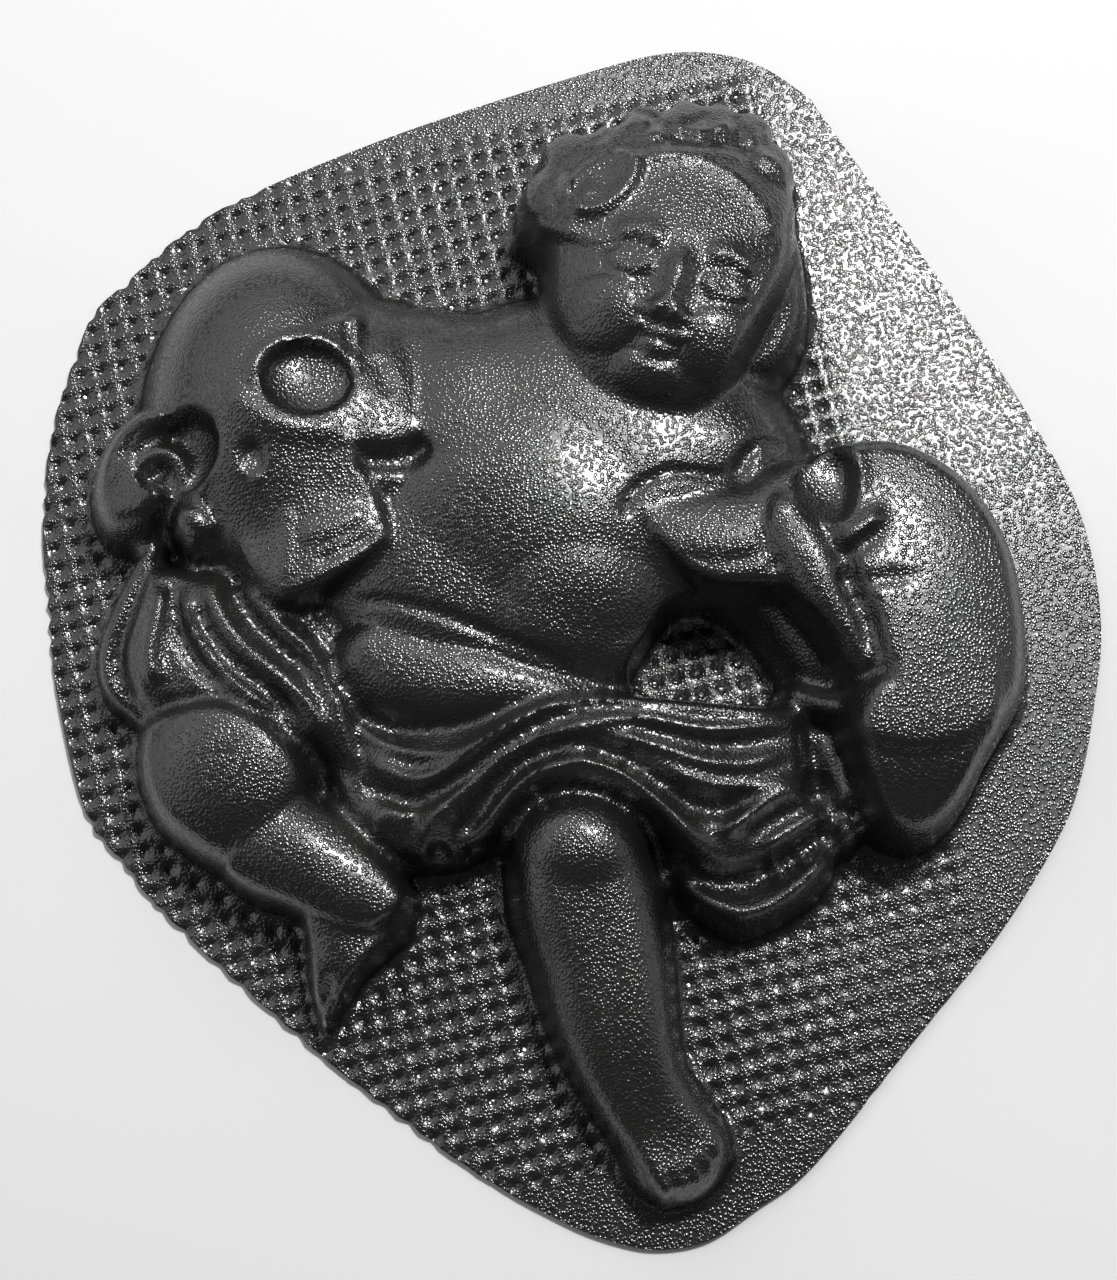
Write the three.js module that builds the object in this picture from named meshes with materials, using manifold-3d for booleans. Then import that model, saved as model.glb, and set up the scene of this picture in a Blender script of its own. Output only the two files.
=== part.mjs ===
// Casting mould of a reclining cherub between two skulls: one vacuum-formed plastic sheet.
// Millimetres, +Z up. The flat flange lies on z = 0 and the relief rises from it, hollow below.

import * as THREE from 'three';
import Module from 'manifold-3d';
import { mergeVertices } from 'three/addons/utils/BufferGeometryUtils.js';

// The sheet
const mouldWidth = 318;          // over the trimmed edge, along X
const mouldLength = 364;         // over the trimmed edge, along Y
const sheetThickness = 2.0;      // thermoplastic sheet, before and after forming
const bridgeRadius = 2.5;        // smallest inside corner that the hot sheet follows
const jointBlend = 1.2;          // softening where one form meets another
const trimStep = 5;              // length of a facet along the trimmed edge

// Heights of the relief above the table
const headTop = 54;
const hairTop = 47;
const hoodTop = 28;
const torsoTop = 43;
const armTop = 37;
const hipClothTop = 38;
const lowerClothTop = 22;
const leftClothTop = 30;
const bentLegTop = 36;
const kneeTop = 38;
const footTop = 19;
const toeTop = 12;
const leftSkullTop = 48;
const leftEarTop = 33;
const rightSkullTop = 50;
const snoutTop = 46;

// Depths
const leftSocketDepth = 9;
const rightSocketDepth = 9;
const clothFoldRise = 3.5;
const clothGrooveDepth = 4.5;
const windowSlope = 3.2;         // rise over run of the walls round the opening beside the hip

// The net that carries the surface
const scanStep = 0.75;           // spacing of the heights that the net is fitted to
const netTriangles = 4900;       // triangles of the net, before the trim
const netMargin = 4;             // the net reaches this far past the trimmed edge

const moulded = new THREE.MeshStandardMaterial({ color: 0x0f100f, roughness: 0.42, metalness: 0 });

// Trimmed outline, clockwise from the top, as points on one smooth closed curve. It and the
// forms below are drawn at one size, and the drawing is laid out to the mould's width and length.
const outlinePoints = [
  [30, 188], [54, 186], [72, 175], [79, 166], [105, 127], [122, 101], [140, 68.5], [148, 58],
  [155, 40], [158, 22], [158.7, 2], [156, -17], [152, -36.5], [145, -55], [126.5, -84], [101, -115],
  [71, -151], [54, -164], [40, -173], [26.5, -175.7], [14, -174], [-3, -167.5], [-32, -151],
  [-77, -117], [-118.5, -80], [-133, -63], [-141, -54], [-147, -39], [-154, -9], [-157, 15],
  [-159, 40], [-157, 68], [-150, 93], [-145, 105], [-136, 114], [-119, 129.5], [-99, 142],
  [-55, 161], [-3, 179],
];

const farBelow = -60;            // height of a form where it has no effect

function clamp(value, low, high) {
  return Math.min(Math.max(value, low), high);
}

function smoothStep(share) {
  const s = clamp(share, 0, 1);
  return s * s * (3 - 2 * s);
}

function smoothMax(a, b, blend) {
  const share = clamp(0.5 + (0.5 * (a - b)) / blend, 0, 1);
  return b + (a - b) * share + blend * share * (1 - share);
}

// Rounded shoulder: 1 in the middle, falling to the edge at 1 and on below it at a steady slope
function shoulder(share, power = 2) {
  const steep = 0.96;
  const s = Math.min(Math.abs(share), 3);
  if (s < steep) return (1 - s ** power) ** (1 / power);
  const left = 1 - steep ** power;
  return left ** (1 / power) - steep ** (power - 1) * left ** (1 / power - 1) * (s - steep);
}

// Catmull-Rom curve through points of any number of values
function spline(points, steps, closed = false) {
  const count = points.length;
  const result = [];
  const at = (i) => (closed ? points[(i + count) % count] : null);
  for (let i = 0; i < (closed ? count : count - 1); i += 1) {
    const b = points[i];
    const c = points[(i + 1) % count];
    const a = at(i - 1) ?? points[i - 1] ?? b.map((value, k) => 2 * value - c[k]);
    const d = at(i + 2) ?? points[i + 2] ?? c.map((value, k) => 2 * value - b[k]);
    for (let j = 0; j < steps; j += 1) {
      const t = j / steps;
      result.push(b.map((value, k) => 0.5 * (2 * value + (c[k] - a[k]) * t
        + (2 * a[k] - 5 * value + 4 * c[k] - d[k]) * t * t
        + (3 * value - a[k] - 3 * c[k] + d[k]) * t ** 3)));
    }
  }
  if (!closed) result.push(points[count - 1]);
  return result;
}

// Measure from the middle of an oval: 0 at its centre, 1 on its edge; and the place along its v axis
function ovalMeasure(at, radii, turn = 0, plan = 2) {
  const angle = THREE.MathUtils.degToRad(turn);
  const [cos, sin] = [Math.cos(angle), Math.sin(angle)];
  return (x, y) => {
    const [dx, dy] = [x - at[0], y - at[1]];
    const u = (dx * cos + dy * sin) / radii[0];
    const v = (dy * cos - dx * sin) / radii[1];
    if (Math.abs(u) > 3 || Math.abs(v) > 3) return { share: 3, v };
    return { share: (Math.abs(u) ** plan + Math.abs(v) ** plan) ** (1 / plan), v };
  };
}

// Nearest place on a curved path: distance, side, share of the length and the path's own values
function pathMeasure(path, reach) {
  const line = spline(path, 5);
  const runs = [0];
  for (let i = 1; i < line.length; i += 1) {
    runs.push(runs[i - 1] + Math.hypot(line[i][0] - line[i - 1][0], line[i][1] - line[i - 1][1]));
  }
  const low = [0, 1].map((k) => Math.min(...line.map((point) => point[k])) - reach);
  const high = [0, 1].map((k) => Math.max(...line.map((point) => point[k])) + reach);
  return (x, y) => {
    if (x < low[0] || x > high[0] || y < low[1] || y > high[1]) return null;
    let best = null;
    for (let i = 1; i < line.length; i += 1) {
      const [ax, ay] = line[i - 1];
      const [dx, dy] = [line[i][0] - ax, line[i][1] - ay];
      const t = clamp(((x - ax) * dx + (y - ay) * dy) / (dx * dx + dy * dy), 0, 1);
      const [ex, ey] = [x - ax - t * dx, y - ay - t * dy];
      const distance = Math.hypot(ex, ey);
      if (best && distance >= best.distance) continue;
      best = { distance, side: Math.sign(dx * ey - dy * ex), i, t };
    }
    const { i, t } = best;
    best.share = (runs[i - 1] + t * (runs[i] - runs[i - 1])) / runs[runs.length - 1];
    best.values = line[i].map((value, k) => line[i - 1][k] + t * (value - line[i - 1][k])).slice(2);
    return best;
  };
}

// Distance in from a smooth closed outline, negative outside it
function outlineMeasure(outline, reach) {
  const line = spline(outline, 4, true);
  const low = [0, 1].map((k) => Math.min(...line.map((point) => point[k])) - reach);
  const high = [0, 1].map((k) => Math.max(...line.map((point) => point[k])) + reach);
  return (x, y) => {
    if (x < low[0] || x > high[0] || y < low[1] || y > high[1]) return -reach;
    let nearest = Infinity;
    let inside = false;
    for (let i = 0; i < line.length; i += 1) {
      const [ax, ay] = line[i];
      const [bx, by] = line[(i + 1) % line.length];
      const [dx, dy] = [bx - ax, by - ay];
      const t = clamp(((x - ax) * dx + (y - ay) * dy) / (dx * dx + dy * dy), 0, 1);
      nearest = Math.min(nearest, Math.hypot(x - ax - t * dx, y - ay - t * dy));
      if ((ay > y) !== (by > y) && x < (dx * (y - ay)) / dy + ax) inside = !inside;
    }
    return inside ? nearest : -nearest;
  };
}

// Forms: each is a function of the plan position that gives the height it lifts the sheet to

function dome(at, radii, top, { turn = 0, base = 0, power = 2 } = {}) {
  const measure = ovalMeasure(at, radii, turn);
  return (x, y) => base + (top - base) * shoulder(measure(x, y).share, power);
}

// Tapered round bar along a path of [x, y, radius, top]
function limb(path, { power = 2 } = {}) {
  const widest = Math.max(...path.map((point) => point[2]));
  const measure = pathMeasure(path, 2 * widest);
  return (x, y) => {
    const near = measure(x, y);
    if (!near) return farBelow;
    const [radius, top] = near.values;
    return top * shoulder(near.distance / radius, power);
  };
}

// Raised area with a rounded edge, whose top is a height or another form
function pad(outline, top, edge, { power = 2 } = {}) {
  const measure = outlineMeasure(outline, 2 * edge);
  return (x, y) => {
    const share = 1 - measure(x, y) / edge;
    if (share >= 3) return farBelow;
    const height = typeof top === 'function' ? Math.max(top(x, y), sheetThickness) : top;
    return height * shoulder(Math.max(share, 0), power);
  };
}

function merge(blend, ...forms) {
  return (x, y) => forms.reduce((height, form) => smoothMax(height, form(x, y), blend), farBelow);
}

// Reliefs: each is a function that gives a height to add to a form

// Ridge, or a groove where its rise is negative, fading out at both ends
function fold(path, width, rise, ends = 0.18) {
  const measure = pathMeasure(path, 3 * width);
  return (x, y) => {
    const near = measure(x, y);
    if (!near) return 0;
    const fade = smoothStep(near.share / ends) * smoothStep((1 - near.share) / ends);
    return rise * Math.exp(-((near.distance / width) ** 2)) * fade;
  };
}

// Hollow, deeper towards one end of its v axis where it leans
function hollow(at, radii, depth, { turn = 0, wall = 0.35, plan = 2, lean = 0 } = {}) {
  const measure = ovalMeasure(at, radii, turn, plan);
  return (x, y) => {
    const { share, v } = measure(x, y);
    return -depth * (1 - smoothStep((share - 1 + wall) / wall)) * (1 + lean * clamp(v, -1, 1));
  };
}

function bump(at, radii, rise, turn = 0) {
  const measure = ovalMeasure(at, radii, turn);
  return (x, y) => Math.max(rise * shoulder(measure(x, y).share), 0);
}

function carve(form, ...reliefs) {
  return (x, y) => reliefs.reduce((height, relief) => height + relief(x, y), form(x, y));
}

// Cloth: its folds fade where the cloth runs down to the flange
function pleat(form, ...folds) {
  const folded = carve(() => 0, ...folds);
  return (x, y) => {
    const height = form(x, y);
    if (height <= sheetThickness) return height;
    return height + smoothStep((height - sheetThickness) / 9) * folded(x, y);
  };
}

// Greatest height round an opening among the forms, whose floor is the flange
function well(outline, slope) {
  const measure = outlineMeasure(outline, -farBelow / slope);
  return (x, y) => sheetThickness - slope * Math.min(measure(x, y), 0);
}

function makeTorso() {
  const body = merge(16,
    dome([6, 52], [64, 54], torsoTop, { turn: -12, power: 2.5 }),
    dome([-26, 28], [52, 45], torsoTop - 2.5, { power: 2.5 }),
    dome([-46, 74], [36, 30], torsoTop - 9),
    dome([47, 56], [22, 19], torsoTop - 11),
    dome([3, 4], [28, 23], torsoTop - 7, { power: 2.6 }),
  );
  return carve(body, fold([[-62, 4], [-48, 5], [-30, 0], [-12, -9], [4, -15]], 3, -3));
}

function makeArm() {
  return limb([
    [-53, -9, 14, armTop - 3], [-38, -11, 15.5, armTop], [-22, -13, 13, armTop], [-8, -16, 9, armTop - 2],
    [6, -17, 5.5, armTop - 5],
  ]);
}

function makeHipCloth() {
  const [top, ridge, groove] = [hipClothTop, clothFoldRise, -clothGrooveDepth];
  const crown = merge(6,
    dome([10, -34], [80, 60], top, { base: 8 }),
    dome([-48, -44], [40, 40], top - 11, { base: 6 }),
  );
  const upper = pad([
    [-66, -16], [-50, -26], [-30, -24], [-12, -16], [0, -15.5], [25, -17], [50, -19], [66, -20],
    [69.5, -32], [71, -46], [77, -52], [70, -60], [58, -67.5], [44, -70.5], [32, -66], [22, -55],
    [10, -47.5], [-4, -46], [-14, -52], [-22, -61], [-36, -67], [-50, -66], [-63, -58], [-70, -46],
    [-73, -34],
  ], crown, 9);
  const lower = pad([
    [24, -58], [34, -62], [48, -66], [62, -62], [72, -55], [78, -62], [74, -74], [62, -83],
    [49, -87.5], [38, -82], [28, -70],
  ], lowerClothTop, 8);
  return pleat(merge(2, upper, lower),
    // swags under the arm
    fold([[-66, -12], [-60, -24], [-49, -31], [-36, -32], [-24, -27], [-12, -20]], 2.2, ridge),
    fold([[-62, -26], [-55, -36], [-44, -40], [-32, -35], [-20, -26], [-8, -19], [6, -17]],
      3.6, 1.8 * ridge),
    fold([[-62, -40], [-52, -47], [-42, -47], [-30, -39], [-20, -31], [-8, -26], [4, -24]], 2.6, groove),
    fold([[-48, -54], [-36, -50], [-26, -41], [-14, -33], [0, -29], [14, -28]], 3.6, 1.3 * ridge),
    fold([[-33, -62], [-27, -53], [-18, -42], [-8, -36], [4, -34]], 2.6, groove),
    fold([[-26, -62], [-19, -51], [-11, -43], [0, -39], [12, -41], [24, -50], [36, -61], [46, -65]],
      3, 1.15 * ridge),
    // gathered ends
    fold([[-58, -56], [-52, -53], [-46, -55]], 4, 0.85 * ridge),
    fold([[-44, -60], [-38, -55], [-32, -57]], 3.2, 0.85 * ridge),
    hollow([-38, -63], [4, 3], 6),
    hollow([-27.5, -63], [3, 2.5], 5),
    // pleats over the thigh
    fold([[-2, -20], [14, -19.5], [34, -21], [52, -23], [64, -24]], 2.4, 0.85 * ridge),
    fold([[1, -24], [10, -22.8], [20, -23.5]], 1.6, 0.7 * groove),
    fold([[2, -27], [20, -26], [38, -29], [54, -28], [66, -26]], 2.2, 0.75 * ridge),
    fold([[16, -28.5], [30, -32], [46, -33], [60, -29]], 1.8, 0.8 * groove),
    fold([[6, -31], [22, -33], [36, -38], [50, -39], [64, -34]], 2.6, 0.85 * ridge),
    fold([[18, -37], [30, -42], [44, -45.5], [58, -44], [68, -40]], 2.4, 0.75 * ridge),
    fold([[2, -34], [14, -37], [24, -43], [34, -50], [44, -51], [54, -47]], 2.8, 1.35 * groove),
    fold([[42, -60], [52, -52], [61, -47], [68, -47]], 2.8, 1.3 * ridge),
    fold([[50, -60], [60, -53], [70, -49]], 2, 0.55 * groove),
    fold([[54, -63], [64, -57], [74, -51]], 2.6, 0.85 * ridge),
    // lower swag
    fold([[30, -67], [42, -72.5], [54, -71], [66, -64], [75, -56]], 2.6, 1.1 * groove),
    fold([[31, -72], [40, -78], [48, -80.5], [58, -78], [68, -70], [75, -62]], 2.8, 0.85 * ridge),
  );
}

function makeLeftCloth() {
  const [top, ridge, groove] = [leftClothTop, clothFoldRise, -clothGrooveDepth];
  const crown = dome([-90, -6], [70, 60], top, { base: 4 });
  const sheet = pad([
    [-124, 27], [-132, 10], [-136, -4], [-133, -16], [-124, -24], [-104, -24], [-88, -30], [-74, -42],
    [-62, -58], [-50, -62], [-46, -40], [-60, -14], [-66, 4], [-80, 16], [-96, 25], [-110, 28],
  ], crown, 8);
  const pleated = pleat(sheet,
    fold([[-126, 24], [-129, 10], [-132, -4], [-130, -15], [-124, -21]], 3, 1.2 * groove),
    fold([[-118, 16], [-121, 2], [-122, -8], [-119, -16]], 3, ridge),
    fold([[-116, 18], [-114, 4], [-108, -8], [-98, -17]], 2.2, 0.8 * groove),
    fold([[-113, 16], [-110, 3], [-103, -8], [-94, -17], [-84, -24]], 2.8, ridge),
    fold([[-109, 12], [-105, 0], [-97, -10], [-86, -18], [-78, -26]], 2, 0.8 * groove),
    fold([[-106, 22], [-103, 8], [-95, -4], [-84, -13], [-75, -22], [-67, -36]], 3.8, 1.3 * ridge),
    fold([[-100, 22], [-97, 12], [-90, 2], [-82, -6], [-74, -12]], 2, 1.4 * groove),
    fold([[-97, 22], [-93, 12], [-84, 2], [-75, -6], [-68, -18], [-64, -34], [-58, -48]],
      3.2, 1.2 * ridge),
    fold([[-84, 8], [-76, 2], [-70, -8], [-66, -20]], 2.2, 0.7 * groove),
    fold([[-78, -30], [-70, -40], [-62, -52]], 2.6, groove),
  );
  const hem = limb([
    [-123, 27, 5, top - 9], [-130, 12, 5.4, top - 9], [-135.5, -3, 5, top - 10],
    [-134, -14, 4.6, top - 11], [-126, -22.5, 3.6, top - 13],
  ]);
  return merge(2, pleated, hem);
}

function makeBentLeg() {
  const thigh = merge(6,
    dome([-104, -42], [24.5, 24], bentLegTop, { power: 2.4 }),
    dome([-92, -36], [20, 20], bentLegTop - 3),
  );
  const calf = limb([
    [-80, -59, 17, bentLegTop - 1.5], [-71.5, -69, 17.8, bentLegTop - 2],
    [-65, -80, 15, bentLegTop - 6.5], [-62.5, -88, 12, bentLegTop - 11],
  ], { power: 2.4 });
  const heel = limb([
    [-62.5, -90, 12.5, bentLegTop - 12], [-65.5, -98, 10, bentLegTop - 14],
    [-70, -106, 5.8, bentLegTop - 18], [-71.5, -110, 3.4, bentLegTop - 22],
  ]);
  const foot = carve(heel, hollow([-68.8, -104.5], [4.2, 6], 5, { turn: -20, wall: 0.6 }));
  return merge(3, thigh, merge(4, calf, foot));
}

function makeStraightLeg() {
  const [knee, foot, toe] = [kneeTop, footTop, toeTop];
  const shin = limb([
    [2, -64, 19.5, knee - 1], [4, -76, 21.3, knee - 1], [8, -91, 20, knee - 3],
    [11, -106, 18.7, knee - 6], [14.5, -119, 16.3, knee - 10], [19.5, -131, 13.8, foot + 6],
    [26, -140, 14, foot + 4], [30, -148, 14.5, foot + 2],
  ], { power: 2.3 });
  const cap = dome([2.5, -62], [20, 14.5], knee, { power: 2.3 });
  const sole = pad([
    [10, -138], [16, -149], [22, -160], [26, -163], [32, -162], [38, -159], [43, -156], [46, -151],
    [43, -143], [36, -135], [24, -128],
  ], foot, 9);
  const toes = [
    [[27.2, -159.5], 4.7, toe + 1, 10], [[33, -159.4], 3.2, toe, 15],
    [[37, -157.4], 3, toe - 0.5, 25], [[40.7, -154.9], 2.9, toe - 1, 35],
    [[43.9, -151.7], 2.8, toe - 1.5, 45],
  ].map(([at, size, height, turn]) => dome(at, [size, 1.35 * size], height, { turn }));
  return merge(2, merge(6, shin, cap), sole, merge(0.6, ...toes));
}

function makeLeftSkull() {
  const [top, ear] = [leftSkullTop, leftEarTop];
  const cranium = dome([-90, 79], [38.5, 39.5], top, { power: 2.4 });
  const crown = merge(3,
    dome([-70, 42], [75, 95], top - 4, { base: 12 }),
    dome([-98, 44], [28, 60], top - 8, { base: 12 }),
  );
  const face = pad([
    [-114, 74], [-106, 62], [-103, 46], [-101, 32], [-96, 18], [-88, 9], [-80, 7.5], [-70, 11],
    [-58, 17], [-50, 23.5], [-50, 33], [-55, 44], [-52, 57], [-42, 60], [-38.5, 69], [-40, 82],
    [-55, 98],
  ], crown, 8, { power: 2.8 });
  const brow = dome([-50, 77], [13.5, 16], top - 7);
  const nose = limb([[-66, 68, 9, top - 6], [-53, 65.5, 8, top - 8], [-44.5, 64.5, 6, top - 12]]);
  const jaw = dome([-107, 35], [11.5, 10.5], ear + 1, { power: 2.2 });
  const solid = merge(2, merge(3, merge(6, merge(5, cranium, face), brow), nose), jaw);
  const bone = carve(solid,
    // eye socket and its raised rim
    hollow([-77.5, 75], [14.8, 12.2], leftSocketDepth, { wall: 0.28, plan: 2.3, lean: 0.45 }),
    fold([[-94, 70], [-93, 82], [-85, 88.5], [-74, 89.5], [-65, 84.5], [-61, 76]], 2.4, 1.6),
    bump([-79, 73], [9, 5.5], 1.8),
    // nasal opening, and the notch under the nose
    hollow([-89, 50], [6.5, 8.5], 5.5, { turn: 14, wall: 0.5, lean: 0.5 }),
    bump([-90.5, 46], [3.5, 4.5], 2.2),
    hollow([-52.5, 53], [11, 6], 15, { turn: 14, wall: 0.5 }),
    // trench between the ear and the face
    fold([[-130, 50], [-124, 59], [-115, 65.5], [-107, 63], [-103, 55], [-105, 46], [-111, 41]],
      4.8, -14, 0.12),
    hollow([-107, 55], [6, 9], 5, { turn: 10, wall: 0.8 }),
    hollow([-101.5, 25], [7, 5], 15, { turn: -12, wall: 0.6 }),
    fold([[-102.5, 44], [-101, 34], [-97.5, 26]], 1.8, -3),
    // brow crease, cheekbone and the planes of the face
    fold([[-64, 93], [-65, 87], [-62.5, 81]], 1.5, -1.8),
    fold([[-98, 65], [-90, 61], [-78, 60], [-64, 62]], 3, 1.4),
    fold([[-85, 46], [-83.5, 32], [-86, 15]], 2.4, 1.3),
    hollow([-93, 29], [6, 13], 2.2, { wall: 1 }),
    hollow([-69, 47], [10, 8], 1.8, { wall: 1 }),
    fold([[-84, 14], [-70, 18.5], [-55, 26.5]], 2.6, 1.8),
    hollow([-66, 22.5], [12, 3], 1.6, { turn: 22, wall: 1 }),
  );
  const disc = pad([
    [-120, 73], [-132, 66.5], [-140, 53], [-142, 39], [-137.5, 28], [-129, 23.5], [-119.5, 28],
    [-113, 37], [-108.5, 44], [-108.5, 54], [-113, 61], [-117, 67],
  ], ear, 11, { power: 2.4 });
  const lobe = carve(disc,
    fold([[-122, 69], [-131, 62], [-137, 50], [-137, 39]], 4.2, 2),
    fold([[-132, 48], [-127, 57], [-119, 62], [-110, 59]], 2.8, -9),
    fold([[-129, 47], [-124.5, 54.5], [-117, 57.5], [-111.5, 51], [-113.5, 42]], 2.3, 3.6),
    fold([[-126, 46], [-122, 50.5], [-116.5, 50.5]], 1.7, -3.6),
    bump([-118.5, 44.5], [4, 3.4], 2),
    hollow([-120, 34], [6.5, 5], 9, { turn: 35, wall: 0.8 }),
  );
  const web = pad([[-76, 112], [-66, 110.5], [-56, 105], [-48, 99.5], [-42, 92], [-60, 84]], top - 22, 9);
  return merge(4, merge(2, bone, lobe), web);
}

function makeRightSkull() {
  const [top, snout] = [rightSkullTop, snoutTop];
  const cranium = dome([96, 5], [37.5, 53], top, { turn: 8, power: 2.4 });
  const nape = dome([99.5, -42], [18.5, 25], top - 11, { turn: 4, power: 2.8 });
  const muzzle = limb([
    [25, 33, 8.5, snout - 9], [33, 30, 12.5, snout - 3], [44, 29, 15.5, snout], [56, 31, 18, snout],
    [66, 34, 20, snout],
  ], { power: 2.2 });
  const upper = pad([
    [17.5, 35], [22, 39.5], [31, 44.5], [38, 43.6], [46, 44], [51, 49], [55, 54], [66, 55.5],
    [76, 58.5], [88, 57], [92, 40], [84, 22], [66, 16], [54, 18], [46, 15], [38, 13], [31, 18],
    [24, 27], [18, 32],
  ], snout - 4, 9, { power: 2.2 });
  const cheek = limb([
    [65, 33, 11, snout + 0.5], [69, 22, 10, snout + 1], [77, 12, 10, snout], [85, 0, 9, snout - 2],
  ]);
  const slope = pad([
    [28, 24], [40, 34], [66, 30], [86, 10], [92, -14], [80, -22], [66, -16], [58, -6], [50, 2],
    [40, 7], [29, 9],
  ], snout - 20, 12);
  const arch = limb([
    [60, -6, 6, snout - 22], [69, -15, 7, snout - 16], [80, -19, 8, snout - 8],
    [92, -18, 8, snout - 4],
  ]);
  const neck = limb([[70, -24, 6, snout - 27], [76, -36, 7, snout - 25], [81, -48, 8, snout - 22]]);
  const solid = merge(5, merge(3, merge(5, cranium, nape), muzzle, upper), cheek);
  const bone = carve(solid,
    // eye socket, brow crease and temple
    hollow([73.5, 45], [8.6, 12.4], rightSocketDepth, { turn: -6, wall: 0.32, plan: 2.3, lean: 0.15 }),
    fold([[76, 20.5], [79.5, 23], [84, 27], [91, 33]], 2.3, -6.5, 0.12),
    fold([[79, 19], [81, 10], [84, 1], [88, -7]], 2.4, -2.4),
    fold([[66, 56], [74, 58], [81.5, 54], [84.5, 44], [81, 34]], 2.2, 1.6),
    // hollow under the cheekbone
    fold([[60, 38], [57.5, 31], [58, 25], [61.5, 19], [67, 13]], 2, -3.5),
    hollow([72, -3], [18, 9], 13, { turn: -35, wall: 0.9 }),
    hollow([94, 13], [12, 4], 1.6, { turn: 10, wall: 0.9 }),
    // ledge over the nape, and the arch below the ear
    fold([[86, -26], [95, -29.5], [106, -30], [118, -28]], 4.5, 1.8),
    fold([[84, -36], [98, -38], [116, -36]], 5, -2.5),
    fold([[88, -28], [95, -32], [102, -29], [110, -32.5], [117, -30]], 2.4, 1),
    fold([[74, -25], [83, -22.5], [94, -19.5]], 2, 2),
    fold([[72, -28.5], [82, -28], [92, -25]], 2.4, -4),
    fold([[76, -12], [84, -12], [93, -11]], 2.6, -3.5),
    // teeth
    fold([[35, 13], [40, 12], [45, 14], [50, 18]], 2, 2.2),
    fold([[30, 20], [38, 17.5], [46, 18.5], [54, 21]], 1.6, -1.6),
  );
  return merge(3, bone, slope, arch, neck);
}

// Generic child's face, laid out from the middle of the face: u to its left, v up
function makeFace(middle, turn) {
  const angle = THREE.MathUtils.degToRad(turn);
  const at = (u, v) => [
    middle[0] + u * Math.cos(angle) - v * Math.sin(angle),
    middle[1] + u * Math.sin(angle) + v * Math.cos(angle),
  ];
  const [eyeApart, eyeLine, noseBase, mouthLine, chinLine] = [13, -3, -15, -26.5, -36];
  const sides = [-1, 1].flatMap((side) => [
    hollow(at(side * eyeApart, eyeLine), [9, 6], 3, { turn, wall: 0.9 }),
    bump(at(side * eyeApart, eyeLine - 0.5), [6.5, 4.2], 2.2, turn),
    fold([at(side * 6, 3), at(side * 13, 5.2), at(side * 20, 3)], 2.6, 1.4),
    bump(at(side * 15, noseBase - 2), [9, 8.5], 2.2, turn),
  ]);
  return [
    ...sides,
    fold([at(0, 6), at(0, -4), at(0, noseBase + 2), at(0, noseBase - 2)], 3.4, 4, 0.4),
    bump(at(0, noseBase), [5, 4], 2.6, turn),
    bump(at(0, mouthLine + 1.5), [7, 2.4], 1.6, turn),
    bump(at(0, mouthLine - 2), [5.5, 2.4], 1.8, turn),
    fold([at(-7, mouthLine + 0.3), at(0, mouthLine - 0.4), at(7, mouthLine + 0.3)], 1.1, -1.4),
    fold([at(-6, -32), at(0, -32.4), at(6, -32)], 1.8, -1),
    bump(at(0, chinLine), [8, 6], 2, turn),
  ];
}

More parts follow.
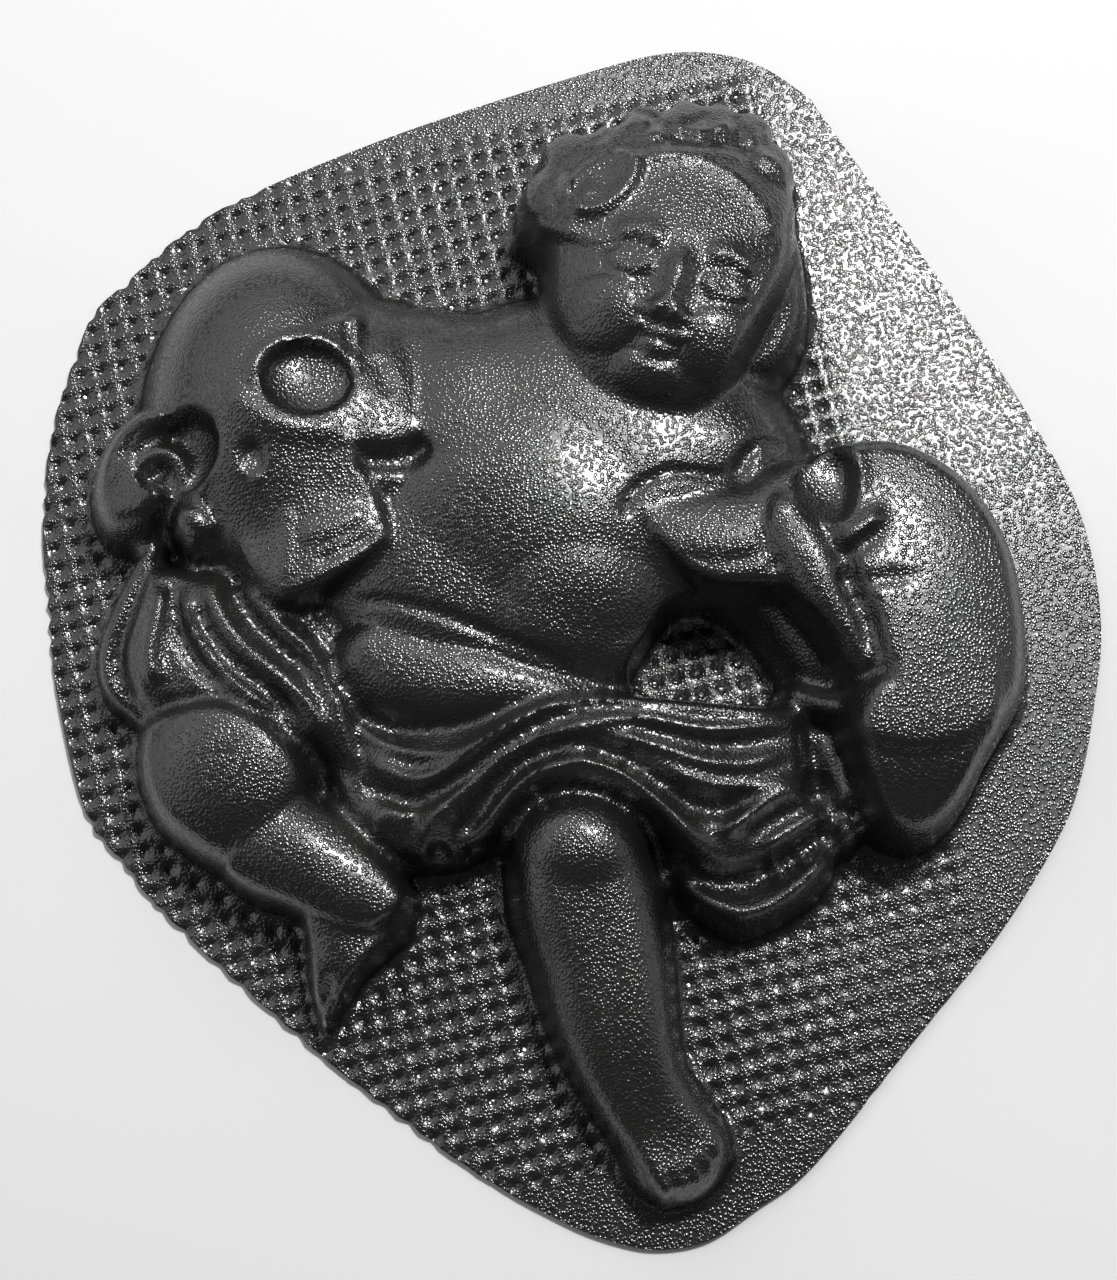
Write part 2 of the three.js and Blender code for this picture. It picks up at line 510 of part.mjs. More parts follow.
function makeHead() {
  const [top, hair, hood, tilt] = [headTop, hairTop, hoodTop, -17];
  const skull = dome([31, 106], [37.5, 42], top, { turn: tilt, power: 2.35 });
  const cheeks = dome([24, 87], [28, 24], top - 3, { turn: tilt });
  const scarf = limb([
    [62, 138, 6, hood - 3], [66.5, 122, 7, hood - 1], [66.5, 104, 8, hood], [63, 88, 8.5, hood],
    [54, 77, 7, hood - 2],
  ]);
  const crown = dome([29, 116], [56, 52], hair, { turn: tilt, power: 2.2 });
  const locks = pad([
    [-6, 118], [-8, 128], [-6, 138], [0, 147], [8, 149], [14, 154], [22, 157], [32, 159], [42, 158],
    [50, 155], [57, 151], [61, 144], [65, 134], [60, 122], [40, 122], [15, 112], [0, 112],
  ], crown, 7, { power: 2.2 });
  const curls = [
    [[-9, 131], 8, 18], [[-10, 122], 6, 23], [[-4, 142], 7, 20], [[4, 145], 9.5, 15],
    [[20.5, 150], 10.5, 14], [[34, 153], 11, 15], [[44, 149], 8.5, 11], [[53, 148.5], 8.5, 16],
    [[58.5, 146], 6, 20], [[58, 137], 8, 9],
  ].map(([at, size, drop]) => dome(at, [size, size], hair - drop));
  const roll = limb([
    [-15, 122, 4, hair - 27], [-10, 120.5, 4.6, hair - 23], [-4, 123, 4.4, hair - 19],
  ]);
  const solid = merge(2, merge(5, skull, cheeks, locks), merge(1.2, ...curls, roll));
  const head = carve(solid,
    // long loop over the brow
    fold([
      [16, 142], [8, 140.5], [1.5, 136], [-1.5, 130], [1, 124.5], [6.5, 123.5], [12, 127.5],
      [16.5, 133], [18, 139],
    ], 2.3, 3.4, 0.06),
    fold([[4, 128.5], [9, 132], [15, 137]], 2.2, -3, 0.3),
    fold([[-4, 133], [-4, 127], [-1, 121]], 1.8, -2.5),
    // curls
    hollow([-9, 131.5], [3.4, 3], 3, { wall: 0.8 }),
    hollow([6.5, 145], [3.4, 2.8], 2.8, { wall: 0.8 }),
    hollow([21.5, 150.5], [4, 3.4], 3.2, { wall: 0.8 }),
    fold([[13, 150], [16.5, 146], [22, 145], [27, 148], [28, 152]], 1.8, 1.8, 0.1),
    fold([[13, 146], [12, 142], [20, 142.5], [28, 144.5]], 1.8, -2),
    fold([[29, 158], [29, 152], [33, 147], [40, 145]], 1.6, -2.4),
    fold([[32, 148], [38, 151.5], [44, 154]], 1.6, -2),
    fold([[35, 145], [41, 147.5], [47, 152]], 1.6, 1.6),
    fold([[50, 154], [50.5, 149], [53, 144]], 1.5, -2.4),
    fold([[56, 151], [56, 146], [58, 142]], 1.3, -1.8),
    // hairline
    fold([[20, 139.5], [32, 141.5], [44, 141.5], [53, 139]], 2.4, 1.6),
    fold([[53, 141], [60, 138], [64.5, 131]], 2, 1.8),
    ...makeFace([31, 104], tilt),
  );
  return merge(2, head, scarf);
}

// Opening between the hip, the torso and the lying skull
function makeWindow() {
  return well([
    [29, 7], [36, 6.5], [42, 4], [47, -1], [50, -6], [52.5, -13], [52, -18.5], [37, -19], [22, -17],
    [18.5, -12.5], [23, -3],
  ], windowSlope);
}

// Evenly spaced heights of the two faces of the formed sheet
function formSheet(low, high, scales) {
  const counts = [0, 1].map((k) => Math.ceil((high[k] - low[k]) / scanStep) + 1);
  const [columns, rows] = counts;
  const relief = merge(jointBlend, makeTorso(), makeHipCloth(), makeArm(), makeLeftCloth(),
    makeBentLeg(), makeStraightLeg(), makeLeftSkull(), makeRightSkull(), makeHead());
  const limit = makeWindow();
  const raised = new Float64Array(columns * rows);
  for (let j = 0; j < rows; j += 1) {
    for (let i = 0; i < columns; i += 1) {
      const [x, y] = [(low[0] + i * scanStep) / scales[0], (low[1] + j * scanStep) / scales[1]];
      const height = Math.min(relief(x, y), limit(x, y));
      raised[j * columns + i] = smoothMax(sheetThickness, height, 2 * jointBlend);
    }
  }

  // Heights that a ball leaves where it rolls over the field (side 1) or under it (side -1)
  function roll(field, radius, side, lift) {
    const reach = Math.floor(radius / scanStep);
    const offsets = [];
    for (let b = -reach; b <= reach; b += 1) {
      for (let a = -reach; a <= reach; a += 1) {
        const left = radius ** 2 - (a ** 2 + b ** 2) * scanStep ** 2;
        if (left >= 0) offsets.push([a, b, Math.sqrt(left) - lift]);
      }
    }
    const result = new Float64Array(field.length);
    for (let j = 0; j < rows; j += 1) {
      for (let i = 0; i < columns; i += 1) {
        let best = -Infinity;
        for (const [a, b, rise] of offsets) {
          const column = clamp(i + a, 0, columns - 1);
          const row = clamp(j + b, 0, rows - 1);
          best = Math.max(best, side * field[row * columns + column] + rise);
        }
        result[j * columns + i] = side * best;
      }
    }
    return result;
  }

  const filled = roll(raised, bridgeRadius, 1, bridgeRadius);
  const outer = roll(filled, bridgeRadius, -1, bridgeRadius);
  const inner = roll(outer, sheetThickness, -1, 0);
  return { columns, rows, faces: [outer, inner] };
}

// Net of triangles over the plan, which gains a point wherever it misses the two faces most
function makeNet({ columns, rows, faces }) {
  const corners = [];      // three points for each triangle, anticlockwise
  const partners = [];     // for each edge, the same edge of the next triangle, or -1
  const misses = [];       // for each triangle, its greatest miss and the point where it lies
  const place = (point) => [point % columns, Math.floor(point / columns)];
  const nextEdge = (edge) => (edge % 3 === 2 ? edge - 2 : edge + 1);

  // A miss counts square to the surface, so a steep wall isn't favoured
  const weights = faces.map((face) => face.map((height, point) => {
    const [i, j] = place(point);
    const heightAt = (di, dj) => (
      face[clamp(j + dj, 0, rows - 1) * columns + clamp(i + di, 0, columns - 1)]);
    const slopes = [heightAt(1, 0) - heightAt(-1, 0), heightAt(0, 1) - heightAt(0, -1)];
    return 1 / Math.hypot(1, slopes[0] / (2 * scanStep), slopes[1] / (2 * scanStep));
  }));

  function turnOf(a, b, c) {
    const [[ax, ay], [bx, by], [cx, cy]] = [place(a), place(b), place(c)];
    return (bx - ax) * (cy - ay) - (by - ay) * (cx - ax);
  }

  function inCircle(a, b, c, d) {
    const [px, py] = place(d);
    const [[ax, ay], [bx, by], [cx, cy]] = [a, b, c].map((point) => {
      const [x, y] = place(point);
      return [x - px, y - py];
    });
    return (ax * ax + ay * ay) * (bx * cy - cx * by) - (bx * bx + by * by) * (ax * cy - cx * ay)
      + (cx * cx + cy * cy) * (ax * by - bx * ay) > 0;
  }

  function measureMiss(triangle) {
    const points = corners.slice(3 * triangle, 3 * triangle + 3);
    const [[ax, ay], [bx, by], [cx, cy]] = points.map(place);
    const area = (bx - ax) * (cy - ay) - (by - ay) * (cx - ax);
    let worst = { miss: 0, point: -1 };
    for (let y = Math.min(ay, by, cy); y <= Math.max(ay, by, cy); y += 1) {
      for (let x = Math.min(ax, bx, cx); x <= Math.max(ax, bx, cx); x += 1) {
        const a = ((bx - x) * (cy - y) - (by - y) * (cx - x)) / area;
        const b = ((cx - x) * (ay - y) - (cy - y) * (ax - x)) / area;
        if (a < 0 || b < 0 || a + b > 1) continue;
        const point = y * columns + x;
        for (let k = 0; k < 2; k += 1) {
          const [p, q, r] = points.map((corner) => faces[k][corner]);
          const flat = a * p + b * q + (1 - a - b) * r;
          const miss = Math.abs(flat - faces[k][point]) * weights[k][point];
          if (miss > worst.miss) worst = { miss, point };
        }
      }
    }
    misses[triangle] = worst;
  }

  function setTriangle(triangle, points, neighbours) {
    points.forEach((point, k) => {
      const edge = 3 * triangle + k;
      corners[edge] = point;
      partners[edge] = neighbours[k];
      if (neighbours[k] >= 0) partners[neighbours[k]] = edge;
    });
  }

  // Turns the shared edge of two triangles where the other diagonal gives rounder ones
  function settle(edges, touched) {
    while (edges.length) {
      const edge = edges.pop();
      const partner = partners[edge];
      if (partner < 0) continue;
      const [one, two] = [Math.floor(edge / 3), Math.floor(partner / 3)];
      const [edge1, edge2] = [nextEdge(edge), nextEdge(nextEdge(edge))];
      const [partner1, partner2] = [nextEdge(partner), nextEdge(nextEdge(partner))];
      const [a, b, apex, far] = [corners[edge], corners[edge1], corners[edge2], corners[partner2]];
      if (!inCircle(a, b, apex, far)) continue;
      const [bApex, apexA, aFar, farB] = [edge1, edge2, partner1, partner2].map((e) => partners[e]);
      setTriangle(one, [a, far, apex], [aFar, -1, apexA]);
      setTriangle(two, [far, b, apex], [farB, bApex, 3 * one + 1]);
      edges.push(3 * one, 3 * two);
      touched.add(one).add(two);
    }
  }

  function addPoint(triangle, point) {
    const first = 3 * triangle;
    const touched = new Set([triangle]);
    const onEdge = (edge) => turnOf(corners[edge], corners[nextEdge(edge)], point) === 0;
    const rim = [0, 1, 2].find((k) => onEdge(first + k));
    const fresh = corners.length / 3;
    if (rim === undefined) {
      const [a, b, c] = corners.slice(first, first + 3);
      const [ab, bc, ca] = partners.slice(first, first + 3);
      setTriangle(triangle, [a, b, point], [ab, -1, -1]);
      setTriangle(fresh, [b, c, point], [bc, -1, first + 1]);
      setTriangle(fresh + 1, [c, a, point], [ca, first + 2, 3 * fresh + 1]);
      touched.add(fresh).add(fresh + 1);
      settle([first, 3 * fresh, 3 * fresh + 3], touched);
    } else {
      const edge = first + rim;
      const partner = partners[edge];
      const [a, b, c] = [edge, nextEdge(edge), nextEdge(nextEdge(edge))].map((e) => corners[e]);
      const [bc, ca] = [nextEdge(edge), nextEdge(nextEdge(edge))].map((e) => partners[e]);
      setTriangle(triangle, [c, a, point], [ca, -1, -1]);
      setTriangle(fresh, [b, c, point], [bc, first + 2, -1]);
      const outside = [first, 3 * fresh];
      touched.add(fresh);
      if (partner >= 0) {
        const other = Math.floor(partner / 3);
        const far = corners[nextEdge(nextEdge(partner))];
        const [aFar, farB] = [nextEdge(partner), nextEdge(nextEdge(partner))].map((e) => partners[e]);
        setTriangle(other, [far, b, point], [farB, 3 * fresh + 2, -1]);
        setTriangle(fresh + 1, [a, far, point], [aFar, 3 * other + 2, first + 1]);
        outside.push(3 * other, 3 * fresh + 3);
        touched.add(other).add(fresh + 1);
      }
      settle(outside, touched);
    }
    touched.forEach(measureMiss);
  }

  const last = columns * rows - 1;
  setTriangle(0, [0, columns - 1, last], [-1, -1, -1]);
  setTriangle(1, [0, last, last - columns + 1], [2, -1, -1]);
  measureMiss(0);
  measureMiss(1);
  while (misses.length < netTriangles) {
    let worst = 0;
    misses.forEach(({ miss }, triangle) => { if (miss > misses[worst].miss) worst = triangle; });
    addPoint(worst, misses[worst].point);
  }
  return corners;
}

// Closed blank: the formed face, its back and the walls round the net
function makeBlank(low, high, scales) {
  const sheet = formSheet(low, high, scales);
  const { columns, faces } = sheet;
  const corners = makeNet(sheet);
  const numbers = new Map();
  const positions = [];
  const vertex = (point, side) => {
    const key = 2 * point + side;
    if (!numbers.has(key)) {
      numbers.set(key, numbers.size);
      const [column, row] = [point % columns, Math.floor(point / columns)];
      positions.push(low[0] + column * scanStep, low[1] + row * scanStep, faces[side][point]);
    }
    return numbers.get(key);
  };
  const front = (point) => vertex(point, 0);
  const back = (point) => vertex(point, 1);
  const triangles = [];
  const edges = new Map();
  for (let first = 0; first < corners.length; first += 3) {
    const [a, b, c] = corners.slice(first, first + 3);
    triangles.push(front(a), front(b), front(c), back(a), back(c), back(b));
    for (const [from, to] of [[a, b], [b, c], [c, a]]) edges.set(`${from},${to}`, [from, to]);
  }
  for (const [from, to] of edges.values()) {
    if (edges.has(`${to},${from}`)) continue;
    triangles.push(front(from), back(to), front(to), front(from), back(from), back(to));
  }
  return { positions, triangles };
}

// Upright block on the trimmed outline
function makeTrimBlock(outline, height) {
  const shape = new THREE.Shape(outline.map(([x, y]) => new THREE.Vector2(x, y)));
  const block = new THREE.ExtrudeGeometry(shape, { depth: height, bevelEnabled: false });
  block.translate(0, 0, -height / 4);
  block.deleteAttribute('normal');
  block.deleteAttribute('uv');
  const merged = mergeVertices(block);
  return { positions: merged.attributes.position.array, triangles: merged.index.array };
}

// Box of a line of points in plan: its low corner, its high corner and its sizes
function boxOf(line) {
  const low = [0, 1].map((k) => Math.min(...line.map((point) => point[k])));
  const high = [0, 1].map((k) => Math.max(...line.map((point) => point[k])));
  return { low, high, sizes: [high[0] - low[0], high[1] - low[1]] };
}

// The trimmed edge, anticlockwise, and the scales that lay the drawing out to the mould's size
function makeTrimLine() {
  const drawn = spline(outlinePoints, 12, true).reverse();
  const { sizes } = boxOf(drawn);
  const scales = [mouldWidth / sizes[0], mouldLength / sizes[1]];
  const trimLine = [];
  for (const point of drawn.map(([x, y]) => [x * scales[0], y * scales[1]])) {
    const last = trimLine[trimLine.length - 1];
    if (last && Math.hypot(point[0] - last[0], point[1] - last[1]) < trimStep) continue;
    trimLine.push(point);
  }
  return { trimLine, scales };
}

const wasm = await Module();
wasm.setup();

function toSolid({ positions, triangles }) {
  return new wasm.Manifold(new wasm.Mesh({
    numProp: 3,
    vertProperties: Float32Array.from(positions),
    triVerts: Uint32Array.from(triangles),
  }));
}

function makeMouldShell() {
  const { trimLine, scales } = makeTrimLine();
  const { low, high } = boxOf(trimLine);
  const blank = toSolid(makeBlank(
    low.map((value) => value - netMargin), high.map((value) => value + netMargin), scales));
  const block = toSolid(makeTrimBlock(trimLine, 4 * Math.max(headTop, rightSkullTop)));
  const trimmed = blank.intersect(block).getMesh();
  const geometry = new THREE.BufferGeometry();
  geometry.setAttribute('position', new THREE.BufferAttribute(trimmed.vertProperties, 3));
  geometry.setIndex(new THREE.BufferAttribute(trimmed.triVerts, 1));
  geometry.computeVertexNormals();
  const shell = new THREE.Mesh(geometry, moulded);
  shell.name = 'mould_shell';
  shell.position.set(-(low[0] + high[0]) / 2, -(low[1] + high[1]) / 2, 0);
  return shell;
}

const mould = new THREE.Group();
mould.name = 'casting_mould';
mould.add(makeMouldShell());

export default mould;
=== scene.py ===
import bpy
import numpy as np
from math import ceil, cos, pi, radians, sin
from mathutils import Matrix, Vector


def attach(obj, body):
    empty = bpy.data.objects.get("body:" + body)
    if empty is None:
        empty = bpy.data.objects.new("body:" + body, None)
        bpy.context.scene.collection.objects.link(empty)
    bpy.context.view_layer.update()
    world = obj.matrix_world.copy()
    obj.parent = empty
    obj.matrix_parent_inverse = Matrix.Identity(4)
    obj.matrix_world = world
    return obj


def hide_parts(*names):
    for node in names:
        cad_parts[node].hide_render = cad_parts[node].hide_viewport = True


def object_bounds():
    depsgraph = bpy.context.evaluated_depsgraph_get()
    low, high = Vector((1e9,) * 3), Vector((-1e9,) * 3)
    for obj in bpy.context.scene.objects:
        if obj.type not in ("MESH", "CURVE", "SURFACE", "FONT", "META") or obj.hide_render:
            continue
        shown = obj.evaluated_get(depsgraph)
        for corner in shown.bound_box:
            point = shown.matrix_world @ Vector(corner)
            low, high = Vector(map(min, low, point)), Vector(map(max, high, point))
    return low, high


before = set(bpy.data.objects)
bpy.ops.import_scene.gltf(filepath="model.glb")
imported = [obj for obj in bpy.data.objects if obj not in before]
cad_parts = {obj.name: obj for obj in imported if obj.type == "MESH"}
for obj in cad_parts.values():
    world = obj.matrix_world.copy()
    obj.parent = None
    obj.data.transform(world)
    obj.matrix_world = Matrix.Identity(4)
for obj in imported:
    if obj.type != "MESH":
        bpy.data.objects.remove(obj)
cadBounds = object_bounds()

millimetre = 0.001
print("casting mould: frame loaded")

# Heights of the relief above the table in mm, and how its parts join, fold and fall
formHeights = {
    "sheetThickness": 2.0, "bridgeRadius": 2.5, "jointBlend": 1.2, "windowSlope": 24,
    "headTop": 54, "hairTop": 47, "hoodTop": 28, "torsoTop": 43, "armTop": 37,
    "hipClothTop": 38, "lowerClothTop": 22, "leftClothTop": 30,
    "bentLegTop": 36, "kneeTop": 38, "footTop": 19, "toeTop": 12,
    "leftSkullTop": 48, "leftEarTop": 33, "rightSkullTop": 50, "snoutTop": 46,
    "clothFoldRise": 3.5, "clothGrooveDepth": 4.5, "clothFoldFade": 9,
}

# Imprint of the wire cloth that the hot sheet was drawn onto, in mm and degrees, its scale per metre
wireCloth = {
    "pitch": 6.35, "turn": 14.0, "startAcross": 0.0, "startAlong": 0.0, "wireShape": 1.3,
    "depth": 0.8, "leastShare": 0.75, "unevenShare": 0.5, "unevenScale": 70.0, "fineDepth": 0.35,
    "rightEdge": 99.0, "topEdge": 164.0, "bottomEdge": -152.0, "edgeFade": 3.0, "edgeBite": 1.1,
    "cornerLoss": 0.8, "cornerAcross": 10.0, "acrossFade": 60.0, "cornerAlong": -70.0, "alongFade": 40.0,
    "liftStart": 0.15, "liftFade": 1.2, "cellsPerPitch": 6, "backStep": 2,
}

# Trimmed outline in mm, drawn like the forms below
trimOutline = [
    (30, 188), (54, 186), (72, 175), (79, 166), (105, 127), (122, 101), (140.5, 69.5), (148.5, 54.5),
    (154.5, 39), (158, 21), (158.7, 2), (156, -17), (152, -36.5), (145, -55), (126.5, -84), (101, -115),
    (71, -151), (54, -164), (40, -173), (26.5, -175.7), (14, -174), (-3, -167.5), (-32, -151), (-77, -117),
    (-118.5, -80), (-133, -63), (-141, -54), (-147, -39), (-154, -9), (-157, 15), (-159, 40), (-157, 68),
    (-150, 93), (-145, 105), (-136, 114), (-119, 129.5), (-99, 142), (-55, 161), (-3, 179),
]

# Steps of a curve from one of its points to the next
curveSteps = {"path": 5, "pad": 4, "trim": 14}

def turnedAxes(turn):  # directions across the two families of wires
    angle = radians(turn)
    return np.array([cos(angle), sin(angle)]), np.array([-sin(angle), cos(angle)])

class PlanGrid:  # even plan points in line with the wire cloth, the same number in each of its gaps
    def __init__(self, low, high, pitch, cells, turn, start):
        self.axisU, self.axisV = turnedAxes(turn)
        self.spacing = pitch / cells
        corners = np.array([(x, y) for x in (low[0], high[0]) for y in (low[1], high[1])])
        us, vs = corners @ self.axisU, corners @ self.axisV
        self.lowU = start[0] + pitch * np.floor((us.min() - start[0]) / pitch)
        self.lowV = start[1] + pitch * np.floor((vs.min() - start[1]) / pitch)
        self.columns = cells * int(ceil((us.max() - self.lowU) / pitch)) + 1
        self.rows = cells * int(ceil((vs.max() - self.lowV) / pitch)) + 1
        u, v = np.meshgrid(self.lowU + self.spacing * np.arange(self.columns),
                           self.lowV + self.spacing * np.arange(self.rows))
        self.x = u * self.axisU[0] + v * self.axisV[0]
        self.y = u * self.axisU[1] + v * self.axisV[1]

    def window(self, points, reach):  # the part of the grid within reach of some points
        plan = np.asarray(points, float)[:, :2]
        slices = []
        for axis, low, count in ((self.axisV, self.lowV, self.rows), (self.axisU, self.lowU, self.columns)):
            along = plan @ axis
            first = int(np.clip((along.min() - reach - low) // self.spacing, 0, count - 1))
            last = int(np.clip((along.max() + reach - low) // self.spacing + 2, first + 1, count))
            slices.append(slice(first, last))
        return tuple(slices)

# Heights of a form and of a basin where they have no effect, and a distance beyond the mould
farBelow, farAbove, farAway = -60.0, 1e3, 1e9
formReach, foldReach, hollowReach = 2, 3, 1.2  # how far out they are worked out, in radii or widths
steepShare, lastShare = 0.96, 3  # shares of its radius between which the side of a form falls straight
curveBulge = 4  # more than a closed curve bulges beyond its points, in mm
tiny = 1e-12

def smoothStep(share):
    s = np.clip(share, 0, 1)
    return s * s * (3 - 2 * s)

def smoothMax(a, b, blend):
    share = np.clip(0.5 + 0.5 * (a - b) / blend, 0, 1)
    return b + (a - b) * share + blend * share * (1 - share)

def sink(blend, form, *basins):  # keeps a form under basins
    for basin in basins:
        form = -smoothMax(-form, -basin, blend)
    return form

def oval(at, radii):  # outline points of an oval
    count = 10
    angles = 2 * pi * np.arange(count) / count
    return np.stack([at[0] + radii[0] * np.cos(angles), at[1] + radii[1] * np.sin(angles)], -1)

def merge(blend, *forms):
    height = forms[0]
    for form in forms[1:]:
        height = smoothMax(height, form, blend)
    return height

def shoulder(share, power=2.0):  # 1 in the middle, rounding down to the edge at 1 and steadily on below
    s = np.minimum(np.abs(share), lastShare)
    left = 1 - steepShare ** power
    beyond = left ** (1 / power) - steepShare ** (power - 1) * left ** (1 / power - 1) * (s - steepShare)
    return np.where(s < steepShare, (1 - np.minimum(s, steepShare) ** power) ** (1 / power), beyond)

def spline(points, steps, closed=False):  # Catmull-Rom curve through points of any number of values
    p = np.array(points, float)
    count = len(p)
    t = (np.arange(steps) / steps)[:, None]
    rows = []
    for i in range(count if closed else count - 1):
        b, c = p[i], p[(i + 1) % count]
        a = p[i - 1] if closed or i else 2 * b - c
        d = p[(i + 2) % count] if closed or i + 2 < count else 2 * c - b
        square, cube = (2 * a - 5 * b + 4 * c - d) * t ** 2, (3 * b - a - 3 * c + d) * t ** 3
        rows.append(0.5 * (2 * b + (c - a) * t + square + cube))
    if not closed:
        rows.append(p[-1:])
    return np.concatenate(rows)

# Forms: heights that the sheet is lifted to. Reliefs: heights added to a form

class Sculptor:
    def __init__(self, grid):
        self.grid = grid

    def measureOval(self, at, radii, turn, reach):  # 0 at the centre of an oval, 1 on its edge
        part = self.grid.window([at], reach * max(radii))
        dx, dy = self.grid.x[part] - at[0], self.grid.y[part] - at[1]
        c, s = cos(radians(turn)), sin(radians(turn))
        u, v = (dx * c + dy * s) / radii[0], (dy * c - dx * s) / radii[1]
        return part, np.sqrt(u * u + v * v), v

    def measurePath(self, path, reach):  # nearest place on a curved path, and the path's own values there
        part = self.grid.window(path, reach)
        x, y = self.grid.x[part], self.grid.y[part]
        line = spline(path, curveSteps["path"])
        runs = np.concatenate([[0], np.cumsum(np.hypot(*(line[1:, :2] - line[:-1, :2]).T))])
        best = np.full(x.shape, farAway)
        share = np.zeros(x.shape)
        side = np.zeros(x.shape)
        values = [np.zeros(x.shape) for _ in range(line.shape[1] - 2)]
        for i in range(len(line) - 1):
            a, b = line[i], line[i + 1]
            dx, dy = b[0] - a[0], b[1] - a[1]
            t = np.clip(((x - a[0]) * dx + (y - a[1]) * dy) / (dx * dx + dy * dy + tiny), 0, 1)
            ex, ey = x - a[0] - t * dx, y - a[1] - t * dy
            distance = ex * ex + ey * ey
            near = distance < best
            best[near] = distance[near]
            share[near] = ((runs[i] + t * (runs[i + 1] - runs[i])) / runs[-1])[near]
            side[near] = np.sign(dx * ey - dy * ex)[near]
            for k, value in enumerate(values):
                value[near] = (a[k + 2] + t * (b[k + 2] - a[k + 2]))[near]
        return part, np.sqrt(best), share, side, values

    def measureOutline(self, outline, reach):  # distance in from a smooth closed outline, negative outside it
        part = self.grid.window(outline, reach + curveBulge)
        x, y = self.grid.x[part], self.grid.y[part]
        line = spline(outline, curveSteps["pad"], closed=True)
        best = np.full(x.shape, farAway)
        inside = np.zeros(x.shape, bool)
        for a, b in zip(line, np.roll(line, -1, axis=0)):
            dx, dy = b - a
            t = np.clip(((x - a[0]) * dx + (y - a[1]) * dy) / (dx * dx + dy * dy + tiny), 0, 1)
            best = np.minimum(best, (x - a[0] - t * dx) ** 2 + (y - a[1] - t * dy) ** 2)
            if a[1] != b[1]:
                inside ^= ((a[1] > y) != (b[1] > y)) & (x < dx * (y - a[1]) / dy + a[0])
        return part, np.where(inside, 1, -1) * np.sqrt(best)

    def spread(self, part, values, empty):
        full = np.full(self.grid.x.shape, float(empty))
        full[part] = values
        return full

    def dome(self, at, radii, top, turn=0, base=0, power=2.0):
        part, share, _ = self.measureOval(at, radii, turn, formReach)
        return self.spread(part, base + (top - base) * shoulder(share, power), farBelow)

    def limb(self, path, base=0, power=2.0):  # tapered round bar along points of x, y, radius, top
        part, distance, _, _, (radius, top) = self.measurePath(path, formReach * max(p[2] for p in path))
        return self.spread(part, base + (top - base) * shoulder(distance / radius, power), farBelow)

    def pad(self, outline, top, edge, base=0, power=2.0):  # raised area, its top a height or a form
        leastRise = 2  # of a form above the base, in mm
        part, distance = self.measureOutline(outline, formReach * edge)
        height = np.maximum(top[part], base + leastRise) if isinstance(top, np.ndarray) else top
        share = np.clip(1 - distance / edge, 0, lastShare)
        return self.spread(part, base + (height - base) * shoulder(share, power), farBelow)

    def basin(self, outline, level, slope):  # greatest heights in and round a sunk floor
        part, distance = self.measureOutline(outline, -farBelow / slope)
        return self.spread(part, level + slope * np.maximum(-distance, 0), farAbove)

    def bowl(self, outline, low, level, rise, slope):  # basin whose floor curves up from its lowest place
        part, distance = self.measureOutline(outline, -farBelow / slope)
        reach = np.hypot(*(np.asarray(outline, float) - low).T).max()
        share = np.hypot(self.grid.x[part] - low[0], self.grid.y[part] - low[1]) / reach
        floor = level + rise * np.minimum(share, 1.2) ** 3  # level at its lowest place and well outside
        return self.spread(part, floor + slope * np.maximum(-distance, 0), farAbove)

    def plane(self, at, level, lean):  # tilted flat top for a pad
        return level + lean[0] * (self.grid.x - at[0]) + lean[1] * (self.grid.y - at[1])

    def fold(self, path, width, rise, ends=0.18, lean=0.0):  # ridge, or a groove where its rise is negative
        part, distance, share, side, _ = self.measurePath(path, foldReach * width)
        fade = smoothStep(share / ends) * smoothStep((1 - share) / ends)
        return self.spread(part, rise * np.exp(-(distance / (width * (1 + lean * side))) ** 2) * fade, 0)

    def hollow(self, at, radii, depth, turn=0, wall=0.35, lean=0.0):
        part, share, v = self.measureOval(at, radii, turn, hollowReach)
        sunk = (1 - smoothStep((share - 1 + wall) / wall)) * (1 + lean * np.clip(v, -1, 1))
        return self.spread(part, -depth * sunk, 0)

    def bump(self, at, radii, rise, turn=0):
        part, share, _ = self.measureOval(at, radii, turn, hollowReach)
        return self.spread(part, np.maximum(rise * shoulder(share), 0), 0)


